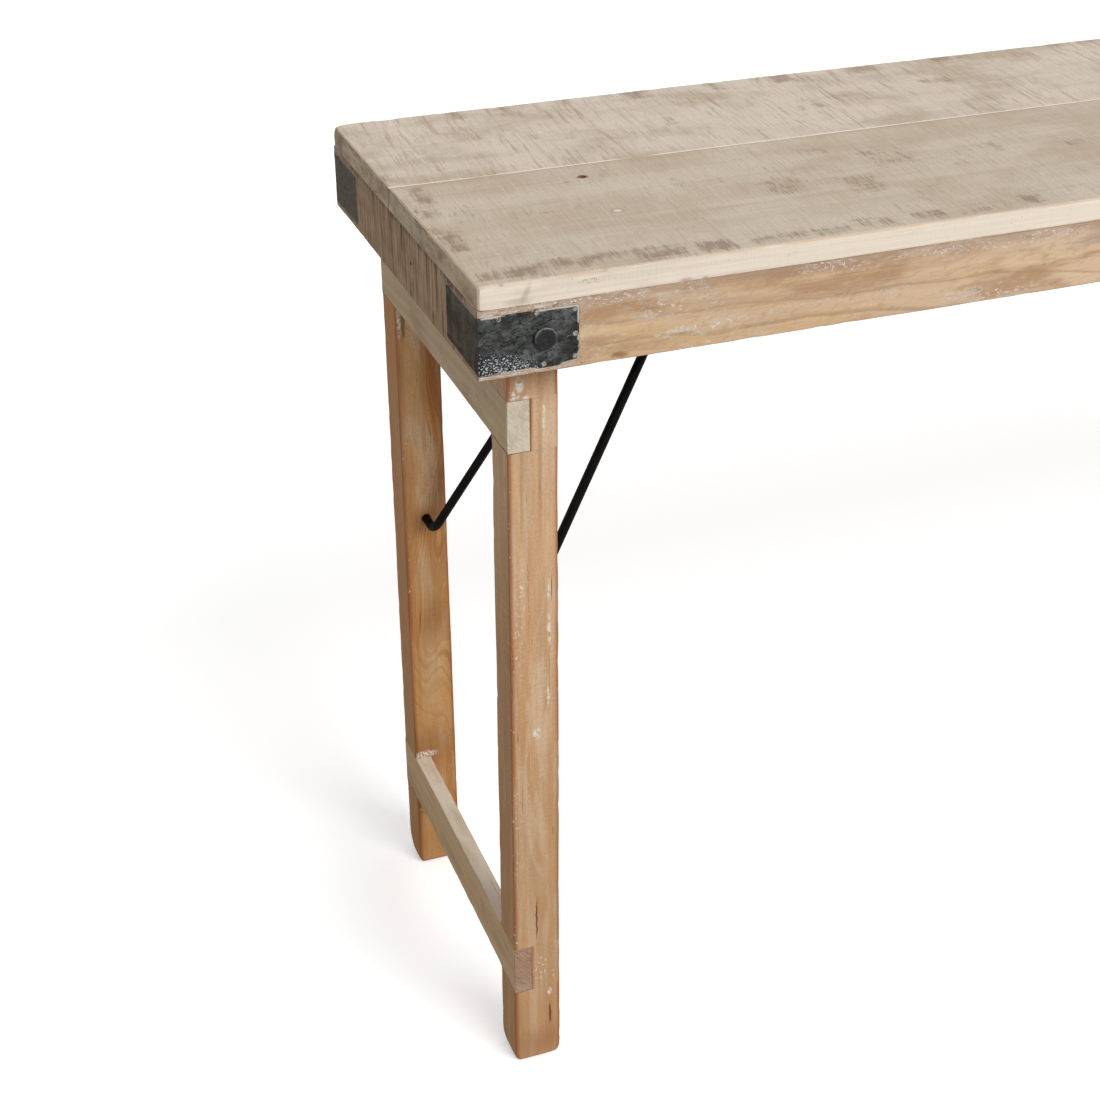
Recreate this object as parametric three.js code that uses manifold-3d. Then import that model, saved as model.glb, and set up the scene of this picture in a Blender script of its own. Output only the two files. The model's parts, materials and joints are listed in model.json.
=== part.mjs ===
// Folding console table: a long narrow top of two boards on a shallow apron frame, two leg frames
// that fold up inside the aprons, and two bent round stays that hook into the legs to lock them.
// Millimetres. +X runs along the table, +Y to its back, +Z up. The origin is on the floor, under
// the middle of the top.
import * as THREE from 'three';
import { mergeVertices } from 'three/addons/utils/BufferGeometryUtils.js';
import Module from 'manifold-3d';

const wasm = await Module();
wasm.setup();

// Whole table
const tableLength = 1800;
const tableDepth = 383;
const tableHeight = 770;

// Clearances
const fitGap = 0.3;
const cutOverrun = 3;

// Top boards
const boardThickness = 18;
const frontBoardWidth = 214;
const boardCornerRadius = 2;
const boardArris = 1;

// Apron frame
const apronHeight = 53;
const sideApronThickness = 25;
const endApronThickness = 29;
const apronArris = 0.6;

// Battens under the boards
const battenWidth = 40;
const battenThickness = 16;
const battenLegGap = 3;
const battenChamfer = 9;

// Corner plates: sheet straps bent round the corners, cut by hand and let into the aprons
const plateThickness = 1.5;
const plateProud = 0.2;
const plateSideLeg = 75;
const plateEndLeg = 71;
const plateHeight = 44.5;
const plateBottomLift = 3.5;
const plateTaper = 2;
const plateCut = 17;

// Legs
const legTopWidth = 40;
const legFootWidth = 43;
const legThickness = 38;
const legFootRadius = 8;
const legArris = 1.2;

// Rails of a leg frame, let into the outer faces of its legs
const upperRailDrop = 32;
const upperRailHeight = 43;
const upperRailThickness = 18;
const upperRailArris = 0.6;
const lowerRailLift = 86;
const lowerRailHeight = 50;
const lowerRailThickness = 16;
const lowerRailArris = 1.5;

// Pivot bolts: coach bolts with a washer and a nut inside
const boltDiameter = 6;
const boltHeadDiameter = 17;
const boltHeadHeight = 3.5;
const boltHeadRim = 0.9;
const boltNeckLength = 4;
const boltEndPastNut = 3;
const boltEndChamfer = 0.8;
const washerDiameter = 18;
const washerThickness = 1.6;
const nutWidth = 10;
const nutThickness = 5;
const nutChamfer = 0.7;

// Stays: one round bar each, bent to a crossbar, two spreading arms and two hooked tips
const stayDiameter = 8;
const stayAnchorDistance = 236;
const stayCrossbarWidth = 92;
const stayHookDrop = 316;
const stayHookInset = 21;
const stayStandOff = 24;
const stayShoulderRadius = 13;
const stayHookRadius = 11;
const hookHoleDepth = 14;

// Clips that hold a stay's crossbar under its batten
const clipSpacing = 42;
const clipWidth = 14;
const clipThickness = 1.5;
const clipEarLength = 13;
const clipScrewDiameter = 3.5;
const clipScrewLength = 13;
const clipScrewHeadDiameter = 7;
const clipScrewHeadHeight = 2.2;
const clipScrewTipLength = 3;

// Facets
const arcSteps = 5;
const roundSides = 20;
const nutConeSides = 24;
const smallSides = 12;
const barSides = 6;
const bendSteps = 5;

// Heights and places that follow from the sizes above
const boardBottom = tableHeight - boardThickness;
const apronBottom = boardBottom - apronHeight;
const pivotHeight = boardBottom - apronHeight / 2;
const legInset = endApronThickness + fitGap;
const legSideInset = sideApronThickness + fitGap;
const legInnerInset = legSideInset + legThickness;
const pivotInset = legInset + legTopWidth / 2;
const stayHookHeight = pivotHeight - stayHookDrop;
const battenBottom = boardBottom - battenThickness;
const crossbarHeight = battenBottom - fitGap - stayDiameter / 2;
const clipBore = stayDiameter / 2 + fitGap;
const plateSeat = plateThickness - plateProud;
const plateBottom = apronBottom + plateBottomLift;
const plateTop = plateBottom + plateHeight;
const upperRail = {
  bottom: apronBottom - upperRailDrop - upperRailHeight,
  height: upperRailHeight,
  thickness: upperRailThickness,
  arris: upperRailArris,
};
const lowerRail = {
  bottom: lowerRailLift,
  height: lowerRailHeight,
  thickness: lowerRailThickness,
  arris: lowerRailArris,
};

// The two ends and the two long sides of the table
const ends = [{ name: 'left', sign: -1 }, { name: 'right', sign: 1 }];
const sides = [{ name: 'front', sign: -1 }, { name: 'back', sign: 1 }];
const xFromEnd = (end, inset) => end * (tableLength / 2 - inset);
const yFromSide = (side, inset) => side * (tableDepth / 2 - inset);

const table = new THREE.Group();

// Finishes
function finish(colour, roughness, metalness) {
  return new THREE.MeshStandardMaterial({ color: colour, roughness, metalness });
}
const topWood = () => finish('#c5b5a2', 0.75, 0);
const sideWood = () => finish('#c9ae90', 0.7, 0);
const endWood = () => finish('#8a745c', 0.85, 0);
const legWood = () => finish('#bd9c7a', 0.7, 0);
const railWood = () => finish('#b9a68c', 0.75, 0);
const plateIron = () => finish('#474846', 0.5, 0.8);
const blackIron = () => finish('#1b1b1c', 0.45, 0.6);
const boltSteel = () => finish('#353636', 0.45, 0.85);

function place(parent, name, geometry, material) {
  const mesh = new THREE.Mesh(geometry, material);
  mesh.name = name;
  parent.add(mesh);
  return mesh;
}

// Solids

// A closed geometry as a solid that can be joined and cut
function solidOf(geometry) {
  const bare = geometry.clone();
  bare.deleteAttribute('normal');
  bare.deleteAttribute('uv');
  const merged = mergeVertices(bare);
  const vertProperties = Float32Array.from(merged.attributes.position.array);
  const triVerts = Uint32Array.from(merged.index.array);
  return new wasm.Manifold(new wasm.Mesh({ numProp: 3, vertProperties, triVerts }));
}

function geometryOf(solid) {
  const { vertProperties, triVerts } = solid.getMesh();
  const geometry = new THREE.BufferGeometry();
  geometry.setAttribute('position', new THREE.BufferAttribute(vertProperties, 3));
  geometry.setIndex(new THREE.BufferAttribute(triVerts, 1));
  geometry.computeVertexNormals();
  return geometry;
}

function cut(geometry, tools) {
  return geometryOf(tools.reduce((solid, tool) => solid.subtract(solidOf(tool)), solidOf(geometry)));
}

// Where an outline's own axes point: it is drawn across the axis that it is extruded along
const outlineAxes = {
  x: [new THREE.Vector3(0, 1, 0), new THREE.Vector3(0, 0, 1), new THREE.Vector3(1, 0, 0)],
  y: [new THREE.Vector3(1, 0, 0), new THREE.Vector3(0, 0, 1), new THREE.Vector3(0, -1, 0)],
  z: [new THREE.Vector3(1, 0, 0), new THREE.Vector3(0, 1, 0), new THREE.Vector3(0, 0, 1)],
};

// An outline in YZ, XZ or XY carried along X, Y or Z between two places, its end edges eased
function extrude(outline, axis, from, to, arris = 0) {
  const low = Math.min(from, to);
  const high = Math.max(from, to);
  const geometry = new THREE.ExtrudeGeometry(new THREE.Shape(outline), {
    depth: high - low - 2 * arris,
    steps: 1,
    bevelEnabled: arris > 0,
    bevelThickness: arris,
    bevelSize: arris,
    bevelOffset: -arris,
    bevelSegments: 1,
  });
  geometry.translate(0, 0, (axis === 'y' ? -high : low) + arris);
  return geometry.applyMatrix4(new THREE.Matrix4().makeBasis(...outlineAxes[axis]));
}

// A rectangle between two opposite corners
function rectangle(u0, v0, u1, v1) {
  return [[u0, v0], [u1, v0], [u1, v1], [u0, v1]].map(([u, v]) => new THREE.Vector2(u, v));
}

// The same with its corners eased by a chamfer
function easedRectangle(u0, v0, u1, v1, arris) {
  const [a0, a1] = [Math.min(u0, u1), Math.max(u0, u1)];
  const [b0, b1] = [Math.min(v0, v1), Math.max(v0, v1)];
  return [
    new THREE.Vector2(a0 + arris, b0),
    new THREE.Vector2(a1 - arris, b0),
    new THREE.Vector2(a1, b0 + arris),
    new THREE.Vector2(a1, b1 - arris),
    new THREE.Vector2(a1 - arris, b1),
    new THREE.Vector2(a0 + arris, b1),
    new THREE.Vector2(a0, b1 - arris),
    new THREE.Vector2(a0, b0 + arris),
  ];
}

// A round tool or bore along Y, between two places
function roundAlongY(radius, x, z, from, to, faces) {
  const cylinder = new THREE.CylinderGeometry(radius, radius, Math.abs(to - from), faces);
  return cylinder.translate(x, (from + to) / 2, z);
}

// A turned piece: a closed profile of [radius, place along the axis] that starts and ends on the axis
function turned(profile, faces) {
  return new THREE.LatheGeometry(profile.map(([r, y]) => new THREE.Vector2(r, y)), faces);
}

// Top boards

// One board, its two outer corners rounded, its seam edge straight
function topBoard(side, width) {
  const outer = yFromSide(side, 0);
  const seam = yFromSide(side, width);
  const halfLength = tableLength / 2;
  const radius = boardCornerRadius;
  const shape = new THREE.Shape();
  shape.moveTo(-halfLength, seam * side);
  shape.lineTo(halfLength, seam * side);
  shape.absarc(halfLength - radius, outer * side - radius, radius, 0, Math.PI / 2, false);
  shape.absarc(-halfLength + radius, outer * side - radius, radius, Math.PI / 2, Math.PI, false);
  const outline = shape.getPoints(arcSteps).map((p) => new THREE.Vector2(p.x, p.y * side));
  return extrude(outline, 'z', boardBottom, tableHeight, boardArris);
}

function addTop() {
  const backBoardWidth = tableDepth - frontBoardWidth - fitGap;
  place(table, 'top_board_front', topBoard(-1, frontBoardWidth), topWood());
  place(table, 'top_board_back', topBoard(1, backBoardWidth), topWood());
}

// Apron frame

// The hole that a pivot bolt needs: round for its shank, square for its neck
function boltHoleTools(end, side) {
  const x = xFromEnd(end, pivotInset);
  const neck = boltDiameter / 2 + fitGap;
  const neckOutline = rectangle(x - neck, pivotHeight - neck, x + neck, pivotHeight + neck);
  const outside = yFromSide(side, -plateProud - cutOverrun);
  const neckEnd = yFromSide(side, boltNeckLength - plateProud + fitGap);
  const inside = yFromSide(side, legInnerInset + cutOverrun);
  return [
    extrude(neckOutline, 'y', outside, neckEnd),
    roundAlongY(neck, x, pivotHeight, outside, inside, roundSides),
  ];
}

function sideApron(side) {
  const outline = easedRectangle(
    yFromSide(side, 0), apronBottom, yFromSide(side, sideApronThickness), boardBottom, apronArris);
  const bar = extrude(outline, 'x', -tableLength / 2, tableLength / 2, apronArris);
  return cut(bar, ends.flatMap((end) => [plateRecess(end.sign, side), ...boltHoleTools(end.sign, side)]));
}

function endApron(end) {
  const outline = easedRectangle(
    xFromEnd(end, 0), apronBottom, xFromEnd(end, endApronThickness), boardBottom, apronArris);
  const bar = extrude(outline, 'y', yFromSide(-1, sideApronThickness), yFromSide(1, sideApronThickness));
  return cut(bar, sides.map((side) => plateRecess(end, side.sign)));
}

function addAprons() {
  sides.forEach((side) => place(table, `${side.name}_apron`, sideApron(side.sign), sideWood()));
  ends.forEach((end) => place(table, `end_apron_${end.name}`, endApron(end.sign), endWood()));
}

// Battens

// A batten lies between the folded legs, its lower ends cut back
function batten(x, screwPlaces) {
  const reach = tableDepth / 2 - legInnerInset - battenLegGap;
  const outline = [
    new THREE.Vector2(-reach + battenChamfer, battenBottom),
    new THREE.Vector2(reach - battenChamfer, battenBottom),
    new THREE.Vector2(reach, battenBottom + battenChamfer),
    new THREE.Vector2(reach, boardBottom),
    new THREE.Vector2(-reach, boardBottom),
    new THREE.Vector2(-reach, battenBottom + battenChamfer),
  ];
  const bar = extrude(outline, 'x', x - battenWidth / 2, x + battenWidth / 2);
  return cut(bar, screwPlaces.map((spot) => screwHole(spot, clipScrewLength + fitGap)));
}

function addBattens() {
  ends.forEach((end) => {
    const x = xFromEnd(end.sign, stayAnchorDistance);
    place(table, `batten_${end.name}`, batten(x, clipScrewSpots(end.sign)), sideWood());
  });
  place(table, 'batten_middle', batten(0, []), sideWood());
}

// Corner plates

// An L in plan whose two legs are trimmed to their hand-cut outlines, standing out of the wood as far
// as given, with its edges moved outwards by the room it has
function strap(end, side, standOut, room) {
  const x = (inset) => xFromEnd(end, inset);
  const y = (inset) => yFromSide(side, inset);
  const [sideReach, endReach] = [plateSideLeg + room, plateEndLeg + room];
  const [low, high] = [plateBottom - room, plateTop + room];
  const plan = [
    [-standOut, -standOut], [sideReach, -standOut], [sideReach, plateSeat],
    [plateSeat, plateSeat], [plateSeat, endReach], [-standOut, endReach],
  ].map(([u, v]) => new THREE.Vector2(x(u), y(v)));
  const sideOutline = [
    [-cutOverrun, low], [plateSideLeg - plateCut, low],
    [sideReach, low + plateTaper], [sideReach, high], [-cutOverrun, high],
  ].map(([u, z]) => new THREE.Vector2(x(u), z));
  const endOutline = [
    [-cutOverrun, low], [0, low], [endReach, low + plateTaper],
    [endReach, high], [-cutOverrun, high],
  ].map(([v, z]) => new THREE.Vector2(y(v), z));
  const blank = solidOf(extrude(plan, 'z', low, high));
  const sideBlank = solidOf(extrude(sideOutline, 'y', y(-cutOverrun), y(endReach + cutOverrun)));
  const endBlank = solidOf(extrude(endOutline, 'x', x(-cutOverrun), x(sideReach + cutOverrun)));
  return geometryOf(blank.intersect(sideBlank).intersect(endBlank));
}

// The shallow recess in the aprons that takes a plate, open outwards
function plateRecess(end, side) {
  return strap(end, side, plateThickness, fitGap);
}

function cornerPlate(end, side) {
  return cut(strap(end, side, plateProud, 0), boltHoleTools(end, side));
}

function addCornerPlates() {
  ends.forEach((end) => sides.forEach((side) => {
    const geometry = cornerPlate(end.sign, side.sign);
    place(table, `corner_plate_${end.name}_${side.name}`, geometry, plateIron());
  }));
}

// Pivot bolts, with their axes along local Y, from the head at zero inwards

const washerPlace = plateProud + legInnerInset + fitGap;
const nutPlace = washerPlace + washerThickness;
const boltLength = nutPlace + nutThickness + boltEndPastNut;

// A domed head, a square neck and a round shank
function boltGeometry() {
  const headRadius = boltHeadDiameter / 2;
  const radius = boltDiameter / 2;
  const dome = boltHeadHeight - boltHeadRim;
  const domeProfile = Array.from({ length: arcSteps + 1 }, (_, i) => {
    const angle = (i / arcSteps) * Math.PI / 2;
    return [headRadius * Math.sin(angle), -boltHeadRim - dome * Math.cos(angle)];
  });
  const profile = [
    ...domeProfile, [headRadius, 0], [radius, 0], [radius, boltLength - boltEndChamfer],
    [radius - boltEndChamfer, boltLength], [0, boltLength],
  ];
  const neckOutline = rectangle(-radius, -radius, radius, radius);
  const neck = extrude(neckOutline, 'y', -boltHeadRim / 2, boltNeckLength);
  return geometryOf(solidOf(turned(profile, roundSides)).add(solidOf(neck)));
}

function washerGeometry() {
  const bore = boltDiameter / 2 + fitGap;
  const rim = washerDiameter / 2;
  const section = [[bore, 0], [rim, 0], [rim, washerThickness], [bore, washerThickness], [bore, 0]];
  return turned(section, roundSides);
}

// A hexagon whose outer corners are chamfered by a cone on both faces, with a round bore
function nutGeometry() {
  const across = nutWidth / Math.cos(Math.PI / 6);
  const corner = across / 2;
  const hexagon = new THREE.CylinderGeometry(corner, corner, nutThickness, 6);
  hexagon.translate(0, nutThickness / 2, 0);
  const flat = nutWidth / 2;
  const cone = turned([
    [0, 0], [flat, 0], [corner, nutChamfer], [corner, nutThickness - nutChamfer], [flat, nutThickness],
    [0, nutThickness],
  ], nutConeSides);
  const blank = geometryOf(solidOf(hexagon).intersect(solidOf(cone)));
  const bore = boltDiameter / 2 + fitGap;
  return cut(blank, [roundAlongY(bore, 0, 0, -cutOverrun, nutThickness + cutOverrun, roundSides)]);
}

// Everything on one pivot turns to face the other way at the back of the table
function addPivots() {
  const bolt = boltGeometry();
  const washer = washerGeometry();
  const nut = nutGeometry();
  ends.forEach((end) => sides.forEach((side) => {
    const pivot = new THREE.Group();
    pivot.position.set(xFromEnd(end.sign, pivotInset), yFromSide(side.sign, -plateProud), pivotHeight);
    pivot.rotation.z = side.sign < 0 ? 0 : Math.PI;
    table.add(pivot);
    const label = `${end.name}_${side.name}`;
    place(pivot, `pivot_bolt_${label}`, bolt, boltSteel());
    place(pivot, `pivot_washer_${label}`, washer, boltSteel()).position.y = washerPlace;
    place(pivot, `pivot_nut_${label}`, nut, boltSteel()).position.y = nutPlace;
  }));
}

// Leg frames

// Seen from the front: round over the pivot, a little wider at the foot, rounded where it stands.
// u runs inwards from the outer face.
function legOutline(end) {
  const half = legTopWidth / 2;
  const radius = legFootRadius;
  const shape = new THREE.Shape();
  shape.moveTo(radius, 0);
  shape.lineTo(legFootWidth - radius, 0);
  shape.absarc(legFootWidth - radius, radius, radius, -Math.PI / 2, 0, false);
  shape.lineTo(legTopWidth, pivotHeight);
  shape.absarc(half, pivotHeight, half, 0, Math.PI, false);
  shape.lineTo(0, radius);
  shape.absarc(radius, radius, radius, Math.PI, Math.PI * 3 / 2, false);
  return shape.getPoints(arcSteps).map((p) => new THREE.Vector2(xFromEnd(end, legInset + p.x), p.y));
}

// Seen from the end: straight, with a rounded foot
function legEndOutline(side) {
  const radius = legFootRadius;
  const top = boardBottom;
  const shape = new THREE.Shape();
  shape.moveTo(radius, 0);
  shape.lineTo(legThickness - radius, 0);
  shape.absarc(legThickness - radius, radius, radius, -Math.PI / 2, 0, false);
  shape.lineTo(legThickness, top);
  shape.lineTo(0, top);
  shape.absarc(radius, radius, radius, Math.PI, Math.PI * 3 / 2, false);
  return shape.getPoints(arcSteps).map((p) => new THREE.Vector2(yFromSide(side, legSideInset + p.x), p.y));
}

// The housing that takes a rail, open on the leg's outer face and on both its sides
function railHousing(end, side, rail) {
  const outline = rectangle(
    xFromEnd(end, legInset - cutOverrun), rail.bottom - fitGap,
    xFromEnd(end, legInset + rail.thickness + fitGap), rail.bottom + rail.height + fitGap);
  const outside = yFromSide(side, legSideInset - cutOverrun);
  return extrude(outline, 'y', outside, yFromSide(side, legInnerInset + cutOverrun));
}

function leg(end, side) {
  const x = (inset) => xFromEnd(end, legInset + inset);
  const y = (inset) => yFromSide(side, inset);
  const post = solidOf(extrude(legOutline(end), 'y', y(legSideInset), y(legInnerInset), legArris));
  const foot = solidOf(extrude(legEndOutline(side), 'x', x(-cutOverrun), x(legFootWidth + cutOverrun)));
  const hookHole = roundAlongY(
    stayDiameter / 2 + fitGap, x(stayHookInset), stayHookHeight,
    y(legInnerInset - hookHoleDepth), y(legInnerInset + cutOverrun), smallSides);
  return cut(geometryOf(post.intersect(foot)), [
    railHousing(end, side, upperRail),
    railHousing(end, side, lowerRail),
    hookHole,
    roundAlongY(
      boltDiameter / 2 + fitGap, xFromEnd(end, pivotInset), pivotHeight,
      y(legSideInset - cutOverrun), y(legInnerInset + cutOverrun), roundSides),
  ]);
}

function railGeometry(end, rail) {
  const outline = easedRectangle(
    xFromEnd(end, legInset), rail.bottom, xFromEnd(end, legInset + rail.thickness),
    rail.bottom + rail.height, rail.arris);
  return extrude(outline, 'y', yFromSide(-1, legSideInset), yFromSide(1, legSideInset));
}

function addLegFrames() {
  ends.forEach((end) => {
    sides.forEach((side) => {
      place(table, `leg_${end.name}_${side.name}`, leg(end.sign, side.sign), legWood());
    });
    place(table, `upper_rail_${end.name}`, railGeometry(end.sign, upperRail), railWood());
    place(table, `lower_rail_${end.name}`, railGeometry(end.sign, lowerRail), railWood());
  });
}

// Stays

// A path of straight runs joined by round bends. Each run and each step of a bend takes an equal
// share of the parameter, so the facets gather in the bends.
class BentBar extends THREE.Curve {
  constructor(corners, radii) {
    super();
    this.points = [corners[0]];
    corners.slice(1, -1).forEach((corner, i) => {
      this.points.push(...BentBar.bend(corners[i], corner, corners[i + 2], radii[i]));
    });
    this.points.push(corners[corners.length - 1]);
  }

  static bend(before, corner, after, radius) {
    const back = before.clone().sub(corner).normalize();
    const on = after.clone().sub(corner).normalize();
    const half = back.angleTo(on) / 2;
    const start = corner.clone().addScaledVector(back, radius / Math.tan(half));
    const middle = back.clone().add(on).normalize();
    const centre = corner.clone().addScaledVector(middle, radius / Math.sin(half));
    const spoke = start.clone().sub(centre);
    const turn = new THREE.Vector3().crossVectors(back, on).normalize().negate();
    const sweep = Math.PI - 2 * half;
    return Array.from({ length: bendSteps + 1 }, (_, i) => (
      spoke.clone().applyAxisAngle(turn, sweep * i / bendSteps).add(centre)));
  }

  getPoint(t, target = new THREE.Vector3()) {
    const spans = this.points.length - 1;
    const span = Math.min(Math.floor(t * spans), spans - 1);
    return target.lerpVectors(this.points[span], this.points[span + 1], t * spans - span);
  }

  getUtoTmapping(u) {
    return u;
  }
}

function stay(end) {
  const arm = stayCrossbarWidth / 2;
  const hookX = xFromEnd(end, legInset + stayHookInset);
  const anchorX = xFromEnd(end, stayAnchorDistance);
  const hook = (side, clear) => (
    new THREE.Vector3(hookX, yFromSide(side, legInnerInset + clear), stayHookHeight));
  const tip = (side) => hook(side, fitGap);
  const elbow = (side) => hook(side, stayStandOff);
  const shoulder = (side) => new THREE.Vector3(anchorX, side * arm, crossbarHeight);
  const path = new BentBar(
    [tip(-1), elbow(-1), shoulder(-1), shoulder(1), elbow(1), tip(1)],
    [stayHookRadius, stayShoulderRadius, stayShoulderRadius, stayHookRadius]);
  const section = new THREE.Shape().absarc(0, 0, stayDiameter / 2, 0, Math.PI * 2, false);
  return new THREE.ExtrudeGeometry(section, {
    steps: path.points.length - 1,
    curveSegments: barSides,
    extrudePath: path,
  });
}

// Clips

const clipScrewReach = clipBore + clipThickness + clipEarLength / 2;

// The four screw places of the clips at one end
function clipScrewSpots(end) {
  const x = xFromEnd(end, stayAnchorDistance);
  return sides.flatMap((side) => [-1, 1].map((across) => (
    new THREE.Vector2(x + across * clipScrewReach, side.sign * clipSpacing / 2))));
}

// An upright hole, open downwards, that runs up into the batten from its underside
function screwHole(spot, depth) {
  const radius = clipScrewDiameter / 2 + fitGap;
  const outline = new THREE.Shape().absarc(spot.x, spot.y, radius, 0, Math.PI * 2, false);
  const mouth = battenBottom - clipThickness - cutOverrun;
  return extrude(outline.getPoints(smallSides / 2), 'z', mouth, battenBottom + depth);
}

// A saddle: a strap that passes under the crossbar, with an ear each side against the batten
function clip(end, side) {
  const x = xFromEnd(end, stayAnchorDistance);
  const outer = clipBore + clipThickness;
  const ear = outer + clipEarLength;
  const shape = new THREE.Shape();
  shape.moveTo(-ear, battenBottom);
  shape.lineTo(-ear, battenBottom - clipThickness);
  shape.lineTo(-outer, battenBottom - clipThickness);
  shape.absarc(0, crossbarHeight, outer, Math.PI, Math.PI * 2, false);
  shape.lineTo(outer, battenBottom - clipThickness);
  shape.lineTo(ear, battenBottom - clipThickness);
  shape.lineTo(ear, battenBottom);
  shape.lineTo(clipBore, battenBottom);
  shape.absarc(0, crossbarHeight, clipBore, 0, -Math.PI, true);
  shape.lineTo(-clipBore, battenBottom);
  const outline = shape.getPoints(arcSteps).map((p) => new THREE.Vector2(x + p.x, p.y));
  const middle = side * clipSpacing / 2;
  const strap = extrude(outline, 'y', middle - clipWidth / 2, middle + clipWidth / 2);
  const spots = clipScrewSpots(end).filter((spot) => spot.y === middle);
  return cut(strap, spots.map((spot) => screwHole(spot, cutOverrun)));
}

// A round-headed screw, head down, its origin under the clip's ear
function screwGeometry() {
  const head = clipScrewHeadDiameter / 2;
  const shank = clipScrewDiameter / 2;
  const shoulder = head * Math.SQRT1_2;
  return turned([
    [0, -clipScrewHeadHeight], [shoulder, -clipScrewHeadHeight * Math.SQRT1_2], [head, 0], [shank, 0],
    [shank, clipScrewLength - clipScrewTipLength], [0, clipScrewLength],
  ], smallSides);
}

function addStays() {
  const screw = screwGeometry();
  ends.forEach((end) => {
    place(table, `stay_${end.name}`, stay(end.sign), blackIron());
    sides.forEach((side) => {
      place(table, `stay_clip_${end.name}_${side.name}`, clip(end.sign, side.sign), boltSteel());
    });
    clipScrewSpots(end.sign).forEach((spot, i) => {
      const mesh = place(table, `clip_screw_${end.name}_${i + 1}`, screw, boltSteel());
      mesh.position.set(spot.x, spot.y, battenBottom - clipThickness);
      mesh.rotation.x = Math.PI / 2;
    });
  });
}

addTop();
addAprons();
addBattens();
addCornerPlates();
addPivots();
addLegFrames();
addStays();

export default table;
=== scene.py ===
import json
import math
from itertools import product
from typing import NamedTuple

import bpy
import numpy as np
from bpy.props import FloatProperty, FloatVectorProperty, IntProperty, PointerProperty
from bpy.types import Operator, Panel, PropertyGroup
from mathutils import Matrix, Vector

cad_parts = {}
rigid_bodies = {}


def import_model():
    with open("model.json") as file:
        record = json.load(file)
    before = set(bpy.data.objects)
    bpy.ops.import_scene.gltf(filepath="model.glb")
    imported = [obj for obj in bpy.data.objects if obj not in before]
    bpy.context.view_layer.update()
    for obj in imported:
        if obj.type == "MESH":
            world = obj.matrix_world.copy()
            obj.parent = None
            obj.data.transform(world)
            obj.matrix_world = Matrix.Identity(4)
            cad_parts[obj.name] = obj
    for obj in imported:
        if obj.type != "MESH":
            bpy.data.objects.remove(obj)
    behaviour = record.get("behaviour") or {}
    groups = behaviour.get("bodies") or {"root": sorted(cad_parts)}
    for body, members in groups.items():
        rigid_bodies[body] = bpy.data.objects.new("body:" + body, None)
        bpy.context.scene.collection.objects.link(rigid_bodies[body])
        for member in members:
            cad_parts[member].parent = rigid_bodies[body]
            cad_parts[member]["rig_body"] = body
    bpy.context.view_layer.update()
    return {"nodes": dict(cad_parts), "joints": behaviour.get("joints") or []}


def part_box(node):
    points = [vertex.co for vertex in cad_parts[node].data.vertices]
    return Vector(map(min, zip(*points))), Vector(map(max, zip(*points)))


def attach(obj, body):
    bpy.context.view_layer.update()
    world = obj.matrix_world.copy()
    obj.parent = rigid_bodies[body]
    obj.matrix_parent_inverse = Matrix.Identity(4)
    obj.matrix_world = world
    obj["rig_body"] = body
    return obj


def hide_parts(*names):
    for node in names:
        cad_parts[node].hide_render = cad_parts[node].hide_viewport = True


bl_info = {
    "name": "Folding Console Table",
    "version": (1, 0, 0),
    "blender": (4, 5, 0),
    "location": "View3D > Sidebar > Console Table",
    "description": "Dresses the frame of a folding console table in worn timber, strap iron and black bar",
    "category": "Object",
}

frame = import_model()

MM = 0.001
TINY = 1e-9
X, Y, Z = 0, 1, 2

ENDS = ("left", "right")
SIDES = ("front", "back")
WAY = {"left": -1, "right": 1, "front": -1, "back": 1}
CORNERS = tuple(product(ENDS, SIDES))


def tone(red, green, blue):
    """A colour as a screen shows it, 0 to 255, as the linear colour with full alpha that a socket takes."""
    shares = np.array((red, green, blue)) / 255
    linear = np.where(shares <= 0.04045, shares / 12.92, ((shares + 0.055) / 1.055) ** 2.4)
    return (*linear.tolist(), 1.0)


def mm(*sizes):
    """Sizes in millimetres, as metres."""
    return tuple(size * MM for size in sizes)


def node_box(node):
    """The lowest and highest corner of a frame node, as arrays, to the thousandth of a millimetre."""
    low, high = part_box(node)
    return np.round(low, 6), np.round(high, 6)


def joint_place(name):
    """Where a joint of the frame has its axis."""
    return np.array(next(j["pos_m"] for j in frame["joints"] if j["name"] == name), float)


FRONT_BOARD = node_box("top_board_front")
BACK_BOARD = node_box("top_board_back")
CAD_TOP = np.minimum(FRONT_BOARD[0], BACK_BOARD[0]), np.maximum(FRONT_BOARD[1], BACK_BOARD[1])
SEAM = (FRONT_BOARD[1][Y] + BACK_BOARD[0][Y]) / 2
CAD_APRON = node_box("front_apron")
CAD_PLATE = node_box("corner_plate_left_front")
PIVOT_BOLT = 6 * MM


# Sizes that a user may change


def length(name, description, default):
    return FloatProperty(name=name, description=description, default=default, subtype="DISTANCE", unit="LENGTH")


def share(name, description, default):
    return FloatProperty(name=name, description=description, default=default, min=0.0, max=1.0, subtype="FACTOR")


def colour(name, description, *screen):
    return FloatVectorProperty(
        name=name, description=description, default=tone(*screen), size=4, min=0.0, max=1.0, subtype="COLOR")


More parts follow.
